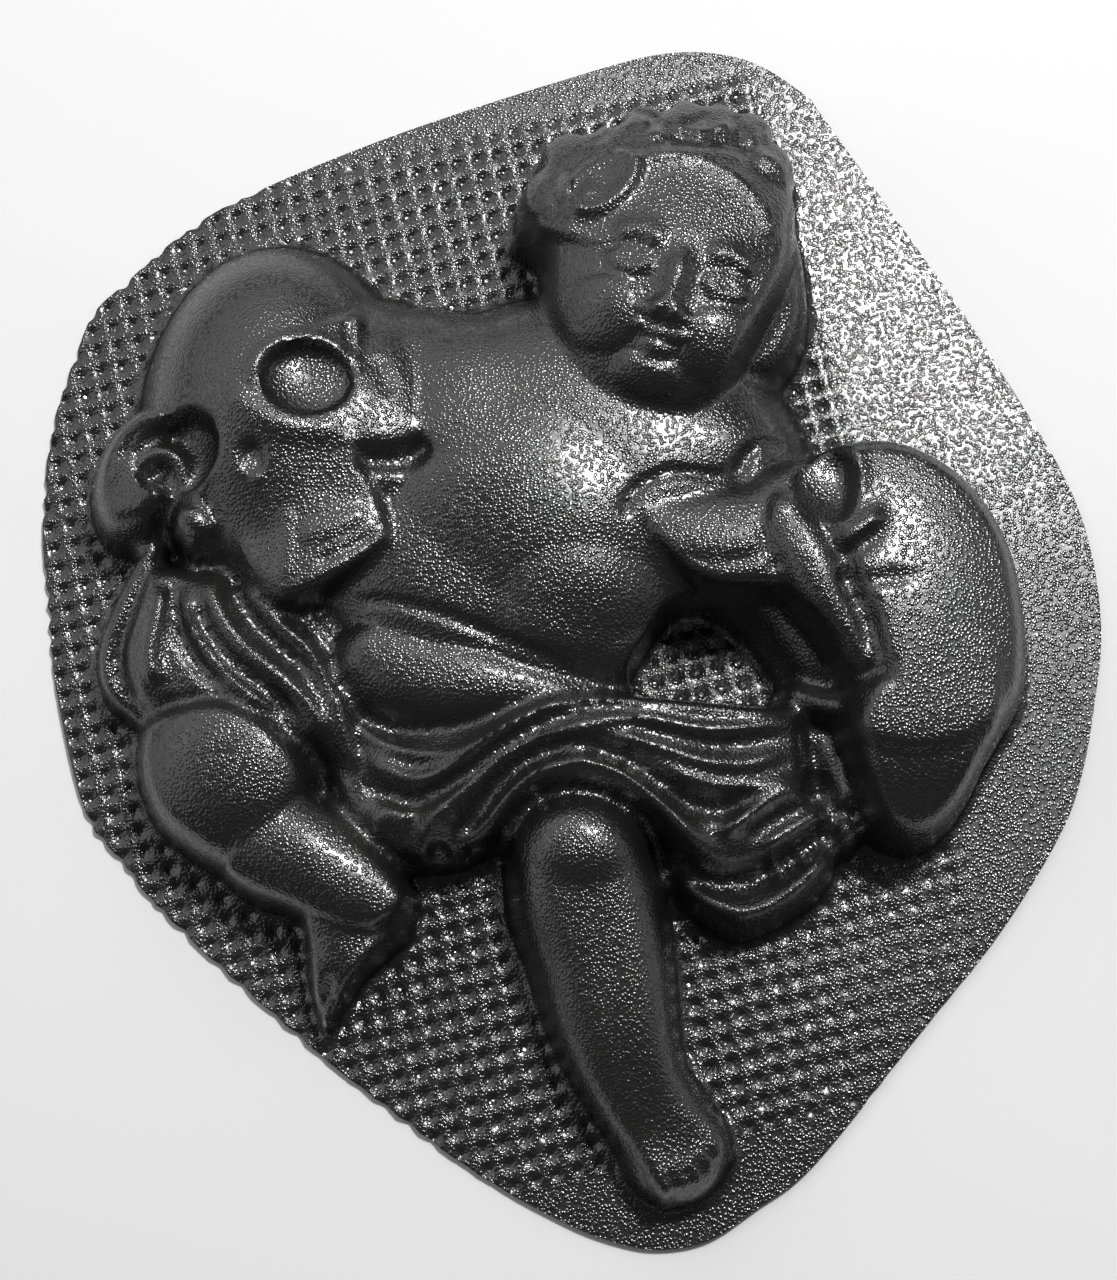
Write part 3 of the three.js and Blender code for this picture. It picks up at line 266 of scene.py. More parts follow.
class MouldRelief(Sculptor):
    def carve(self, form, *reliefs):
        return form + sum(reliefs)

    def pleat(self, form, *folds):  # cloth: its folds fade where it runs down to the flange
        lifted = form - formHeights["sheetThickness"]
        return form + smoothStep(lifted / formHeights["clothFoldFade"]) * sum(folds)

    def makeTorso(self):
        top = formHeights["torsoTop"]
        body = merge(16,
            self.dome((6, 52), (64, 54), top, turn=-12, power=2.8),
            self.dome((-26, 26), (54, 48), top - 2.5, power=3),
            self.dome((-46, 72), (38, 32), top - 6, power=2.3),
            self.dome((47, 56), (22, 19), top - 11),
            self.dome((3, 4), (29, 25), top - 6, power=3))
        return self.carve(body, self.fold([(-66, 9), (-52, 8), (-34, 3), (-14, -5), (4, -12)], 1.6, -1.8))

    def makeArm(self):
        top = formHeights["armTop"]
        return merge(5,
            self.limb([(-57, -6, 12.5, top - 1.5), (-46, -11, 16.5, top), (-33, -13.5, 16.5, top + 1),
                (-19, -15.5, 12.5, top + 0.5), (-6, -17, 8, top - 1), (7, -17.5, 5, top - 5)],
                base=14, power=2.6),
            self.dome((-50, -9), (20, 18.5), top - 2.5, turn=-20, base=10, power=3))

    def makeHipCloth(self):
        top, fold = formHeights["hipClothTop"], self.fold
        ridge, groove = formHeights["clothFoldRise"], -formHeights["clothGrooveDepth"]
        crown = merge(6,
            self.dome((10, -34), (80, 60), top, base=8),
            self.dome((-48, -44), (40, 40), top - 11, base=6))
        upper = self.pad([(-66, -16), (-50, -26), (-30, -24), (-12, -16), (0, -15.5), (25, -17), (50, -19),
            (66, -20), (69.5, -32), (71, -46), (77, -52), (70, -60), (58, -67.5), (44, -70.5), (32, -66),
            (22, -55), (10, -47.5), (-4, -46), (-14, -52), (-22, -61), (-36, -67), (-50, -66), (-63, -58),
            (-70, -46), (-73, -34)], crown, 7, power=2.4)
        lower = self.pad([(24, -58), (34, -62), (48, -66), (62, -62), (72, -55), (78, -62), (74, -74),
            (62, -83), (49, -87.5), (38, -82), (28, -70)], formHeights["lowerClothTop"], 8)
        return self.pleat(merge(2, upper, lower),
            # swags under the arm
            fold([(-69, -12), (-64, -24), (-53, -33), (-39, -36), (-25, -32), (-9, -23)], 2.4, ridge),
            fold([(-62, -30), (-54, -39), (-43, -43), (-31, -38), (-19, -30), (-6, -23),
                (8, -20)], 3, 1.3 * ridge),
            fold([(-62, -41), (-52, -47), (-42, -48.5), (-30, -42), (-20, -34), (-8, -28),
                (4, -25)], 2.4, groove),
            fold([(-48, -54), (-36, -50), (-26, -41), (-14, -33), (0, -29), (14, -28)], 3.6, 1.3 * ridge),
            fold([(-33, -62), (-27, -53), (-18, -42), (-8, -36), (4, -34)], 2.6, groove),
            fold([(-26, -62), (-19, -51), (-11, -43), (0, -39), (12, -41), (24, -50), (36, -61),
                (46, -65)], 3, 1.15 * ridge),
            # gathered ends
            fold([(-58, -56), (-52, -53), (-46, -55)], 4, 0.85 * ridge),
            fold([(-44, -60), (-38, -55), (-32, -57)], 3.2, 0.85 * ridge),
            self.hollow((-38, -63), (4, 3), 6),
            self.hollow((-27.5, -63), (3, 2.5), 5),
            # pleats over the thigh
            fold([(-2, -20.5), (14, -20.5), (34, -21.5), (52, -23), (64, -24)], 2.2, 0.8 * ridge),
            fold([(1, -24), (10, -22.8), (20, -23.5)], 1.6, 0.7 * groove),
            fold([(2, -27), (20, -26), (38, -29), (54, -28), (66, -26)], 2.2, 0.75 * ridge),
            fold([(16, -28.5), (30, -32), (46, -33), (60, -29)], 1.8, 0.8 * groove),
            fold([(6, -31), (22, -33), (36, -38), (50, -39), (64, -34)], 2.6, 0.85 * ridge),
            fold([(18, -37), (30, -42), (44, -45.5), (58, -44), (68, -40)], 2.4, 0.75 * ridge),
            fold([(2, -34), (14, -37), (24, -43), (34, -50), (44, -51), (54, -47)], 2.8, 1.35 * groove),
            fold([(42, -60), (52, -52), (61, -47), (68, -47)], 2.8, 1.3 * ridge),
            fold([(50, -60), (60, -53), (70, -49)], 2, 0.55 * groove),
            fold([(54, -63), (64, -57), (74, -51)], 2.6, 0.85 * ridge),
            # lower swag
            fold([(30, -67), (42, -72.5), (54, -71), (66, -64), (75, -56)], 2.6, 1.1 * groove),
            fold([(31, -72), (40, -78), (48, -80.5), (58, -78), (68, -70), (75, -62)], 2.8, 0.85 * ridge))

    def makeLeftCloth(self):
        top, fold = formHeights["leftClothTop"], self.fold
        ridge, groove = formHeights["clothFoldRise"], -formHeights["clothGrooveDepth"]
        crown = self.dome((-90, -6), (70, 60), top, base=4)
        sheet = self.pad([(-125, 24), (-132, 10), (-136, -4), (-133, -16), (-124, -24), (-104, -24),
            (-88, -30), (-74, -42), (-62, -58), (-50, -62), (-46, -40), (-60, -14), (-66, 4), (-80, 14),
            (-96, 20.5), (-110, 22.5)], crown, 8)
        pleated = self.pleat(sheet,
            fold([(-126, 24), (-129, 10), (-132, -4), (-130, -15), (-124, -21)], 3, 1.2 * groove),
            fold([(-118, 16), (-121, 2), (-122, -8), (-119, -16)], 3, ridge),
            fold([(-116, 18), (-114, 4), (-108, -8), (-98, -17)], 2.2, 0.8 * groove),
            fold([(-113, 16), (-110, 3), (-103, -8), (-94, -17), (-84, -24)], 2.8, ridge),
            fold([(-109, 12), (-105, 0), (-97, -10), (-86, -18), (-78, -26)], 2, 0.8 * groove),
            fold([(-106, 22), (-103, 8), (-95, -4), (-84, -13), (-75, -22), (-67, -36)], 3.8, 1.3 * ridge),
            fold([(-100, 22), (-97, 12), (-90, 2), (-82, -6), (-74, -12)], 2, 1.4 * groove),
            fold([(-97, 22), (-93, 12), (-84, 2), (-75, -6), (-68, -18), (-64, -34),
                (-58, -48)], 3.2, 1.2 * ridge),
            fold([(-84, 8), (-76, 2), (-70, -8), (-66, -20)], 2.2, 0.7 * groove),
            fold([(-78, -30), (-70, -40), (-62, -52)], 2.6, groove))
        hem = self.limb([(-123, 27, 5, top - 9), (-130, 12, 5.4, top - 9), (-135.5, -3, 5, top - 10),
            (-134, -14, 4.6, top - 11), (-126, -22.5, 3.6, top - 13)])
        return merge(2, pleated, hem)

    def makeBentLeg(self):
        top = formHeights["bentLegTop"]
        thigh = self.pad([(-124, -22), (-128, -32), (-126.5, -44), (-121, -55), (-112, -63), (-101, -69),
            (-90, -66), (-76, -52), (-74, -36), (-86, -22), (-104, -16)],
            self.dome((-97, -37), (33, 34), top, base=14, power=2.2), 8, power=2.2)
        calf = self.pad([(-95, -51), (-101, -62), (-101, -70), (-92, -77), (-83, -80), (-74, -84), (-62, -88),
            (-50, -84), (-45, -76), (-51, -66), (-62, -54), (-72, -45), (-82, -42.5), (-90, -45)],
            self.limb([(-97, -56, 18, top - 5), (-82, -61.5, 18.5, top - 3), (-66, -71, 18, top - 3.5),
                (-54, -78, 16, top - 5)], base=14, power=2.2), 5, power=2.2)
        foot = self.pad([(-77, -78), (-77, -89), (-76, -100), (-73.5, -109), (-71, -114.5), (-67, -109),
            (-60.5, -99), (-53, -92), (-46, -86), (-46, -76), (-60, -70)],
            self.limb([(-66, -76, 20, top - 8), (-65, -87, 17, top - 9.5), (-66.5, -97, 13, top - 11),
                (-70, -109, 9, top - 18)], base=6, power=2.4), 4, power=2.2)
        sole = self.carve(foot,
            self.hollow((-70, -103.5), (3.4, 8), 4.5, turn=-14, wall=0.9),
            self.fold([(-76, -82), (-70, -79.5), (-61, -79.5), (-52, -84)], 1.8, -1.8),
            self.fold([(-55, -87), (-60, -95), (-65, -102)], 2.2, 1.2))
        return merge(1.5, merge(2, thigh, calf), sole)

    def makeStraightLeg(self):
        knee, foot, toe = formHeights["kneeTop"], formHeights["footTop"], formHeights["toeTop"]
        shin = self.limb([(2, -64, 20, knee - 1.5), (4.5, -76, 21.5, knee - 2.5), (8.5, -91, 20, knee - 4),
            (11.5, -106, 18.7, knee - 5.5), (15, -119, 16.5, knee - 7.5), (20, -131, 14.5, knee - 10.5),
            (26, -140, 14.5, foot + 5.5), (30, -148, 15, foot + 3)], power=3.6)
        cap = self.dome((3, -62), (21, 17), knee - 0.5, power=2.6)
        sole = self.pad([(8, -134), (14, -146), (20, -157), (23.5, -161.5), (27, -163), (31, -161.5),
            (35.5, -160.5), (39.5, -157.5), (43.5, -153), (46, -148), (45, -141), (38, -132), (26, -124)],
            self.plane((26, -140), foot + 4.5, (-0.12, -0.04)), 6, power=2.3)
        toes = [((27, -158), 4.6, 5, 10), ((32.7, -157), 3.3, 4, 15), ((36.9, -155), 3.1, 3.5, 25),
            ((40.7, -152), 3, 3, 35), ((43.5, -148.4), 2.9, 2.5, 45)]
        toes = [self.dome(at, (size, 1.4 * size), toe + rise, turn=turn, power=2.6)
            for at, size, rise, turn in toes]
        gaps = [(30.6, -163, 2.4, 10), (35.2, -160.5, 3, 8.5), (39.4, -157.5, 3.6, 7.5),
            (43, -153.5, 4.2, 6.5)]
        gaps = [self.fold([(x, y), (x - dx, y + dy)], 1, -2.2, ends=0.3) for x, y, dx, dy in gaps]
        return self.carve(merge(2, merge(6, shin, cap), merge(0.8, sole, *toes)), *gaps)

    def makeLeftSkull(self):
        pad, fold, hollow = self.pad, self.fold, self.hollow
        top, ear = formHeights["leftSkullTop"], formHeights["leftEarTop"]
        cranium = self.dome((-88, 66), (41, 56.5), top - 1, power=2.3)
        crown = sink(8, self.plane((-68, 30), top - 5, (-0.1, -0.05)),
            self.plane((-84, 30), top - 5, (0.36, 0)))
        face = pad([(-112, 74), (-110, 58), (-112, 44), (-116, 34), (-114.5, 25), (-109, 21.5),
            (-103, 25.5), (-99, 24), (-95.5, 17), (-89, 9.5), (-82, 6), (-74, 8), (-64, 13), (-54, 20),
            (-49, 25), (-50.5, 34), (-54, 42), (-58, 49), (-60, 56), (-56, 66), (-58, 82), (-64, 96)],
            crown, 5, power=2.2)
        brow = self.dome((-62, 60), (38, 44), top - 4.5, base=10)
        nose = pad([(-72, 64), (-62, 66), (-52, 66), (-46, 65), (-42, 61.5), (-41.5, 57),
            (-45, 54.5), (-52, 52.8), (-60, 52), (-68, 53)],
            self.plane((-55, 60), top - 6, (-0.14, -0.08)), 2.2, base=28, power=2.2)
        knob = pad([(-118, 36), (-113, 40.5), (-106, 41), (-100, 38), (-97, 31), (-99.5, 25.5), (-105, 23),
            (-112, 24), (-117, 29)], self.plane((-107, 33), ear + 6, (-0.05, -0.05)), 8, power=2.2)
        disc = pad([(-117, 71), (-128, 69.5), (-136.5, 63), (-142, 53), (-143.5, 42), (-140, 32),
            (-133, 27.5), (-123, 28.5), (-116, 34), (-111, 42), (-109, 54), (-112, 64)],
            self.plane((-124, 50), ear + 2, (0.4, 0.05)), 10, power=2.2)
        solid = merge(1.5, merge(3, merge(5, cranium, face, brow), knob), nose, disc)
        hollows = [
            self.bowl(oval((-76.3, 72), (12.4, 10)), (-71, 79), top - 9.5, 5.5, 3.2),
            self.bowl([(-127, 51), (-123, 57), (-117, 61), (-110, 62.5), (-104.5, 59), (-103, 51),
                (-105.5, 45), (-110, 41), (-117, 41), (-124, 44)], (-121, 56), ear - 7, 8, 5)]
        bone = self.carve(sink(1, solid, *hollows),
            fold([(-92, 68), (-91, 77), (-85, 83), (-76, 85), (-68, 82.5), (-62.5, 76)], 2, 0.9),
            hollow((-91.5, 48.5), (5, 7), 3, turn=12, wall=0.8, lean=0.5),
            fold([(-94, 50), (-91.5, 45), (-89, 41)], 1.3, 1),
            fold([(-105, 44), (-103.5, 34), (-100, 27)], 2.2, -1.6),
            fold([(-64.5, 92), (-64.5, 86), (-62.5, 80)], 1.5, -1.6),
            fold([(-58, 80), (-54, 73), (-53, 67)], 2.6, -0.9),
            fold([(-100, 71), (-93, 63), (-84, 58.5), (-74, 57), (-64, 58)], 4, 1.2),
            fold([(-78, 26), (-68, 29), (-58, 34)], 2.6, 0.8),
            fold([(-74, 18), (-64, 22), (-56, 27)], 1.6, -0.7),
            fold([(-82, 12), (-81.5, 24), (-81.5, 36)], 2.2, 0.6))
        curl = merge(1,
            self.limb([(-128.5, 42, 3, ear - 3), (-126, 49, 4, ear - 0.5), (-120, 53, 4.6, ear + 0.5),
                (-114.5, 50.5, 4.4, ear + 0.5), (-112.5, 43.5, 4, ear - 1)], base=12, power=2.4),
            self.dome((-119.5, 43.5), (4.6, 3.8), ear - 1, turn=30, base=12))
        ears = self.carve(merge(1, bone, curl),
            fold([(-121, 68), (-130, 62), (-136, 52), (-136, 41)], 4, 1.2),
            fold([(-131, 50), (-127, 57.5), (-119, 63)], 1.8, -1.8),
            hollow((-119, 33.5), (5, 4.5), 5, turn=35, wall=0.9),
            hollow((-105, 20), (9, 4.5), 9, turn=-8, wall=0.9))
        web = pad([(-76, 112), (-66, 110.5), (-56, 105), (-48, 99.5), (-42, 92), (-60, 84)], top - 22, 9)
        return merge(4, ears, web)

    def makeRightSkull(self):
        pad, limb, fold = self.pad, self.limb, self.fold
        top, snout = formHeights["rightSkullTop"], formHeights["snoutTop"]
        cranium = pad([(133, 6), (130, 24), (122, 40), (110, 52), (95, 58.5), (80, 58), (68, 52), (63, 40),
            (65, 29), (72, 21), (77.5, 9), (82, -4), (80, -16), (76, -27), (79, -36), (90, -41), (104, -41),
            (116, -37), (126, -29), (132, -18), (133.5, -6)],
            self.dome((84, 2), (62, 78), top - 0.5, base=24, power=2.3), 9, power=2.3)
        back = pad([(76, -20), (79, -38), (83, -50), (88, -58), (98, -62), (108, -58), (115, -49),
            (120.5, -38), (126, -26), (124, 0), (96, 10), (80, 0)],
            sink(8, self.plane((100, -36), top - 3, (-0.05, 0.5)),
                self.plane((100, -38), top - 3, (0, -0.1))), 8, power=2.3)
        ridge = limb([(20, 32, 13, snout - 4), (31, 26, 17, snout - 2), (44, 23.5, 20, snout - 1),
            (57, 24, 20, snout - 0.5), (66, 30, 20, snout)], base=snout - 16, power=2.3)
        muzzle = pad([(16.5, 36), (22, 42), (31, 44.5), (38, 44), (44.5, 43.8), (48, 46), (51, 50.5),
            (55, 54), (64, 55), (76, 57), (88, 55), (92, 40), (84, 22), (68, 9), (58, 9.5), (48, 9.5),
            (40, 10.5), (32, 14.5), (24.5, 22), (18, 30)],
            sink(3, ridge, self.plane((60, 36), snout - 1, (0.02, -0.26))), 4.5, power=2.3)
        cheek = limb([(61, 31, 10, snout + 1.5), (66.5, 22, 10.5, snout + 3), (71, 13, 10, snout + 3),
            (76, 4, 9, snout + 2), (81.5, -5, 7.5, snout), (87, -12, 5.5, snout - 4)], base=30, power=2.6)
        slope = pad([(30, 18), (40, 30), (66, 30), (86, 10), (92, -14), (80, -22), (66, -16), (58, -6),
            (52, 2), (44, 6), (34, 10)], snout - 20, 12)
        arch = limb([(66, -17, 6, snout - 21), (76, -21, 7, snout - 14), (86, -21, 8, snout - 8)])
        neck = limb([(70, -24, 6, snout - 27), (76, -36, 7, snout - 25), (80, -46, 7, snout - 23)])
        knob = self.dome((79.5, -56), (5.5, 7.5), snout - 24)
        solid = merge(1.5, merge(3, cranium, muzzle), cheek)
        orbit = self.bowl([(65, 37), (64.5, 43), (66.5, 49), (71, 51.5), (76, 51), (79, 46), (79.5, 39),
            (77.5, 31.5), (73.5, 29.5), (69, 31.5)], (77, 50), top - 12.5, 8, 3)
        bone = self.carve(merge(5, sink(1.2, solid, orbit), back),
            fold([(92, 31.5), (86, 29), (80, 24.5), (75, 20)], 2.6, 2.4, ends=0.35, lean=-0.55),
            fold([(91, 27), (85, 24), (79.5, 19.5), (78, 12), (81, 4)], 2.6, -1.5, ends=0.3),
            fold([(66, 54), (74, 55.5), (81, 52), (83, 43), (81.5, 34)], 2.2, 1),
            fold([(57, 38), (55, 30), (56, 22), (60, 14)], 1.5, -2.4),
            self.hollow((66, 0), (18, 7), 9, turn=-38, wall=0.9),
            self.hollow((90, 12.5), (12, 4), 1, turn=6, wall=1),
            fold([(76, 17), (80, 7), (85, -5), (91, -13)], 1.8, -2.2),
            fold([(70, -24), (78, -17), (86, -14), (93, -13)], 2.6, -4),
            fold([(31, 22), (39, 18.5), (48, 19), (56, 21)], 2.2, -0.7))
        return merge(2, merge(5, bone, slope, arch, neck), knob)

    def makeFace(self, middle, turn):  # generic sleeping child's face: u across it, v up it
        fold, bump = self.fold, self.bump
        c, s = cos(radians(turn)), sin(radians(turn))
        at = lambda u, v: (middle[0] + u * c - v * s, middle[1] + u * s + v * c)
        eyeApart, eyeLine, noseBase, mouthLine, chinLine = 14.5, 2, -10, -18, -26.5
        reliefs = [
            fold([at(0, 12), at(0, 5), at(0, -3), at(0, noseBase)], 3.6, 3, ends=0.4),
            bump(at(0, noseBase + 0.8), (4.6, 4.6), 3.2, turn),
            fold([at(-6, noseBase - 2.6), at(0, noseBase - 4), at(6, noseBase - 2.6)], 1.5, -1.6, ends=0.3),
            bump(at(0, chinLine - 1), (10, 6.5), 2.8, turn),
            fold([at(-7, mouthLine - 4.4), at(0, mouthLine - 5), at(7, mouthLine - 4.4)],
                1.8, -1.4, ends=0.3),
            bump(at(0, mouthLine - 2), (6, 2.7), 2.2, turn),
            fold([at(-8.5, mouthLine + 1), at(-4.5, mouthLine - 0.2), at(0, mouthLine + 0.4),
                at(4.5, mouthLine - 0.2), at(8.5, mouthLine + 1)], 1, -2, ends=0.12)]
        for side in (-1, 1):
            reliefs += [
                self.hollow(at(side * eyeApart, eyeLine + 1), (11, 7.5), 3, turn, wall=1),
                bump(at(side * eyeApart, eyeLine), (7.6, 5.2), 3.4, turn),
                fold([at(side * (eyeApart - 7.5), eyeLine - 0.8),
                    at(side * (eyeApart - 3.5), eyeLine - 3.2), at(side * (eyeApart + 3.5), eyeLine - 3.4),
                    at(side * (eyeApart + 7.5), eyeLine - 0.8)], 1, -1.8, ends=0.1),
                fold([at(side * (eyeApart - 7), eyeLine + 3.6), at(side * eyeApart, eyeLine + 6),
                    at(side * (eyeApart + 7.5), eyeLine + 3)], 0.9, -0.9, ends=0.15),
                fold([at(side * 6, 10), at(side * 13.5, 13), at(side * 22, 9.5)], 3.2, 1.3),
                bump(at(side * 4.6, noseBase), (3.2, 2.8), 2, turn),
                bump(at(side * 3.4, mouthLine + 2.2), (4.6, 2.3), 1.9, turn),
                bump(at(side * 18, noseBase - 4), (12.5, 11), 2.6, turn)]
        return reliefs

    def makeHead(self):
        pad, fold = self.pad, self.fold
        top, hair, hood, tilt = formHeights["headTop"], formHeights["hairTop"], formHeights["hoodTop"], -17
        crown = self.dome((31, 101), (51, 54), top - 1, base=14, power=2.1)
        skull = pad([(-8.5, 108), (-9, 100), (-9, 91), (-6, 82), (-1, 73), (6.5, 65.5), (16, 60.5), (27, 59),
            (37, 61), (44, 66), (49, 73), (54, 82), (59, 91), (64, 100), (67, 109), (68, 120), (67, 132),
            (60, 145), (40, 152), (15, 150), (0, 140), (-8, 122)], crown, 7, power=2.3)
        scarf = pad([(60, 138), (66.5, 132), (70, 120), (71.5, 110), (72, 99), (70, 89.5), (65, 81),
            (57, 75), (48, 72), (42, 76), (50, 90), (58, 105), (62, 120)],
            self.plane((62, 92), hood + 1, (-0.1, 0.1)), 7)
        (x, y), radius, fall = (29, 108), 31, 0.85  # the hair falls off round the face
        beyond = np.maximum(np.hypot(self.grid.x - x, self.grid.y - y) - radius, 0)
        rise = hair + 0.5 - fall * beyond
        locks = pad([(-9, 116), (-13, 121), (-16, 127), (-16, 134), (-12, 140), (-9.5, 142), (-10, 148),
            (-5, 153), (1, 154), (5, 152.5), (8, 155), (13, 154.5), (14.5, 158), (18.5, 162), (24, 162.5),
            (28, 160.5), (31, 164.5), (36, 165.5), (40, 163), (43, 164.5), (48, 163.5), (50.5, 161),
            (54, 162.5), (59, 160), (62, 155), (62, 150.5), (66, 147), (68, 141), (67, 136), (67.5, 124),
            (60, 112), (30, 108), (6, 108)], rise, 4, power=2.2)
        roll = self.limb([(-15, 123.5, 3, hair - 25), (-9, 121.5, 3.8, hair - 17),
            (-1, 123.5, 3.4, hair - 10)])
        curls = [((-8.5, 132), 9), ((-2.5, 146), 9), ((8, 147.5), 8), ((21.5, 153), 10.5), ((35, 156), 10),
            ((46, 156.5), 8.5), ((55.5, 153.5), 8.5), ((61.5, 142.5), 8)]
        curls = np.maximum.reduce([self.bump(at, (size, size), 3.4) for at, size in curls])
        solid = merge(1, merge(4, skull, locks), roll)
        head = self.carve(solid, curls,
            # the long loop over the brow
            fold([(18, 140.5), (10, 139), (2, 134.5), (-1.5, 128.5), (1, 123.5), (6, 122), (12, 124.5),
                (17, 130), (19, 136), (18, 140.5)], 2, 2, ends=0.03),
            fold([(4.5, 128), (9.5, 131.5), (14.5, 136)], 2.4, -1.6, ends=0.4),
            fold([(-4.5, 137), (-5, 130), (-3, 124)], 1.4, -1.6),
            # curls
            fold([(-11, 135), (-7, 137), (-4, 133.5), (-7, 130)], 1.2, -1.3),
            fold([(2.5, 150), (7, 151), (10, 147.5), (6.5, 145)], 1.2, -1.3),
            fold([(14, 153), (19, 157), (25, 153.5), (22, 148.5), (16.5, 149)], 1.4, -1.6, ends=0.1),
            fold([(27, 160), (26.5, 153), (30, 148), (37, 146)], 1.6, -1.9),
            fold([(32, 150), (37, 152.5), (41.5, 156.5)], 1.6, -1.4),
            fold([(36, 147), (42, 149), (47.5, 153)], 1.5, 1.3),
            fold([(49.5, 158), (49, 152), (51.5, 146.5)], 1.4, -1.8),
            fold([(58, 155), (57, 149.5), (58.5, 143)], 1.3, -1.4),
            fold([(13, 145.5), (22, 144.5), (33, 144.5), (45, 144.8), (56, 142.5)], 1.5, -1.1),
            fold([(20, 140), (32, 140.5), (44, 140.5), (54, 139)], 2.6, 0.8),
            fold([(54, 142), (61, 138.5), (64.5, 131)], 2, 1),
            *self.makeFace((30, 99), tilt))
        return merge(1.5, head, scarf)

    def makeOuter(self):
        blend = formHeights["jointBlend"]
        relief = merge(blend, self.makeTorso(), self.makeHipCloth(), self.makeArm(), self.makeLeftCloth(),
            self.makeBentLeg(), self.makeStraightLeg(), self.makeLeftSkull(), self.makeRightSkull(),
            self.makeHead())
        window = self.basin([(28.5, 7), (35, 9.8), (43, 8.5), (49, 3.5), (53, -3), (55.5, -10), (54, -15.5),
            (37, -16.5), (21, -14.8), (17.5, -10.5), (23, -1)], formHeights["sheetThickness"] - 1,
            formHeights["windowSlope"])
        relief = self.carve(relief,
            self.fold([(15, 31), (17, 38), (23, 43), (31, 45.3), (38, 44.8), (44.5, 44.6), (48, 47),
                (51, 51.5), (55, 55), (64, 56)], 1.4, -3, ends=0.08),
            self.fold([(45, 44.5), (48.5, 46.5), (51.5, 51.5), (54, 54.5)], 1.9, -3),
            self.fold([(-63, 50), (-58, 49.5), (-51, 49.5), (-45, 51.5), (-41, 56)], 3, -5, ends=0.15))
        relief = np.minimum(relief, window)
        relief = smoothMax(relief, formHeights["sheetThickness"], 2 * blend)
        radius = formHeights["bridgeRadius"]
        return self.roll(self.roll(relief, radius, 1, radius), radius, -1, radius)

    def roll(self, field, radius, side, lift):  # a ball rolled over (1) or under (-1) the heights
        reach = int(radius / self.grid.spacing)
        rows, columns = field.shape
        edged = np.pad(side * field, reach, mode="edge")
        result = np.full(field.shape, -farAway)
        for b in range(-reach, reach + 1):
            for a in range(-reach, reach + 1):
                left = radius ** 2 - (a * a + b * b) * self.grid.spacing ** 2
                if left >= 0:
                    moved = edged[reach + b:reach + b + rows, reach + a:reach + a + columns]
                    result = np.maximum(result, moved + np.sqrt(left) - lift)
        return side * result


# The relief as one sheet of even thickness

def clothReach(u, v):  # 1 where there was wire cloth under the sheet, fading at its edges and in a corner
    soft = wireCloth["edgeFade"]
    reach = smoothStep((wireCloth["rightEdge"] - u) / soft) * smoothStep((wireCloth["topEdge"] - v) / soft)
    reach = reach * smoothStep((v - wireCloth["bottomEdge"]) / soft)
    across = smoothStep((u - wireCloth["cornerAcross"]) / wireCloth["acrossFade"])
    along = smoothStep((wireCloth["cornerAlong"] - v) / wireCloth["alongFade"])
    return reach * (1 - wireCloth["cornerLoss"] * across * along)

def makeImprintMask(grid, outer):  # the same, but 0 where the relief lifts the sheet off the cloth
    u = grid.x * grid.axisU[0] + grid.y * grid.axisU[1]
    v = grid.x * grid.axisV[0] + grid.y * grid.axisV[1]
    lifted = outer - formHeights["sheetThickness"] - wireCloth["liftStart"]
    return clothReach(u, v) * (1 - smoothStep(lifted / wireCloth["liftFade"]))

def show(name, data):  # a new object of the scene
    piece = bpy.data.objects.new(name, data)
    bpy.context.collection.objects.link(piece)
    return piece

def showMesh(name, points, faces):
    mesh = bpy.data.meshes.new(name)
    mesh.from_pydata(points, [], faces)
    return show(name, mesh)

def gridFaces(*corners):  # four-sided faces from the numbers of their points
    return np.stack(corners, -1).reshape(-1, 4).tolist()

def makeSlab(name, grid, outer, inner, mask, place):  # closed block between both faces, wider than the sheet
    step = wireCloth["backStep"]
    front = np.arange(outer.size).reshape(outer.shape)
    back = inner[::step, ::step]
    rear = outer.size + np.arange(back.size).reshape(back.shape)
    plan = [np.stack(place(grid.x, grid.y) + (outer,), -1).reshape(-1, 3),
            np.stack(place(grid.x[::step, ::step], grid.y[::step, ::step]) + (back,), -1).reshape(-1, 3)]
    faces = gridFaces(front[:-1, :-1], front[:-1, 1:], front[1:, 1:], front[1:, :-1])
    faces += gridFaces(rear[:-1, :-1], rear[1:, :-1], rear[1:, 1:], rear[:-1, 1:])
    sides = [(front[0], rear[0]), (front[:, -1], rear[:, -1]), (front[-1, ::-1], rear[-1, ::-1]),
             (front[::-1, 0], rear[::-1, 0])]
    for top, bottom in sides:
        for i in range(len(bottom) - 1):
            faces.append(bottom[i:i + 2].tolist() + top[i * step:(i + 1) * step + 1][::-1].tolist())
    slab = showMesh(name, (np.concatenate(plan) * millimetre).tolist(), faces)
    attributes = {"cloth": [mask.ravel(), mask[::step, ::step].ravel()],
                  "side": [np.ones(outer.size), -np.ones(back.size)]}
    for label, values in attributes.items():
        slab.data.attributes.new(label, "FLOAT", "POINT").data.foreach_set("value", np.concatenate(values))
    return slab

def makeTrimLine():  # bitten in between the wires, where the cut crosses their imprint
    line = spline(trimOutline, curveSteps["trim"], closed=True)[::-1]
    along = np.roll(line, -1, 0) - np.roll(line, 1, 0)
    inward = np.stack([-along[:, 1], along[:, 0]], -1) / np.hypot(*along.T)[:, None]
    u, v = (line @ axis for axis in turnedAxes(wireCloth["turn"]))
    wires = 1 - np.sin(pi * (u - wireCloth["startAcross"]) / wireCloth["pitch"]) ** 2 * (
        np.sin(pi * (v - wireCloth["startAlong"]) / wireCloth["pitch"]) ** 2)
    return line + inward * ((1 - wires) * clothReach(u, v) * wireCloth["edgeBite"])[:, None]

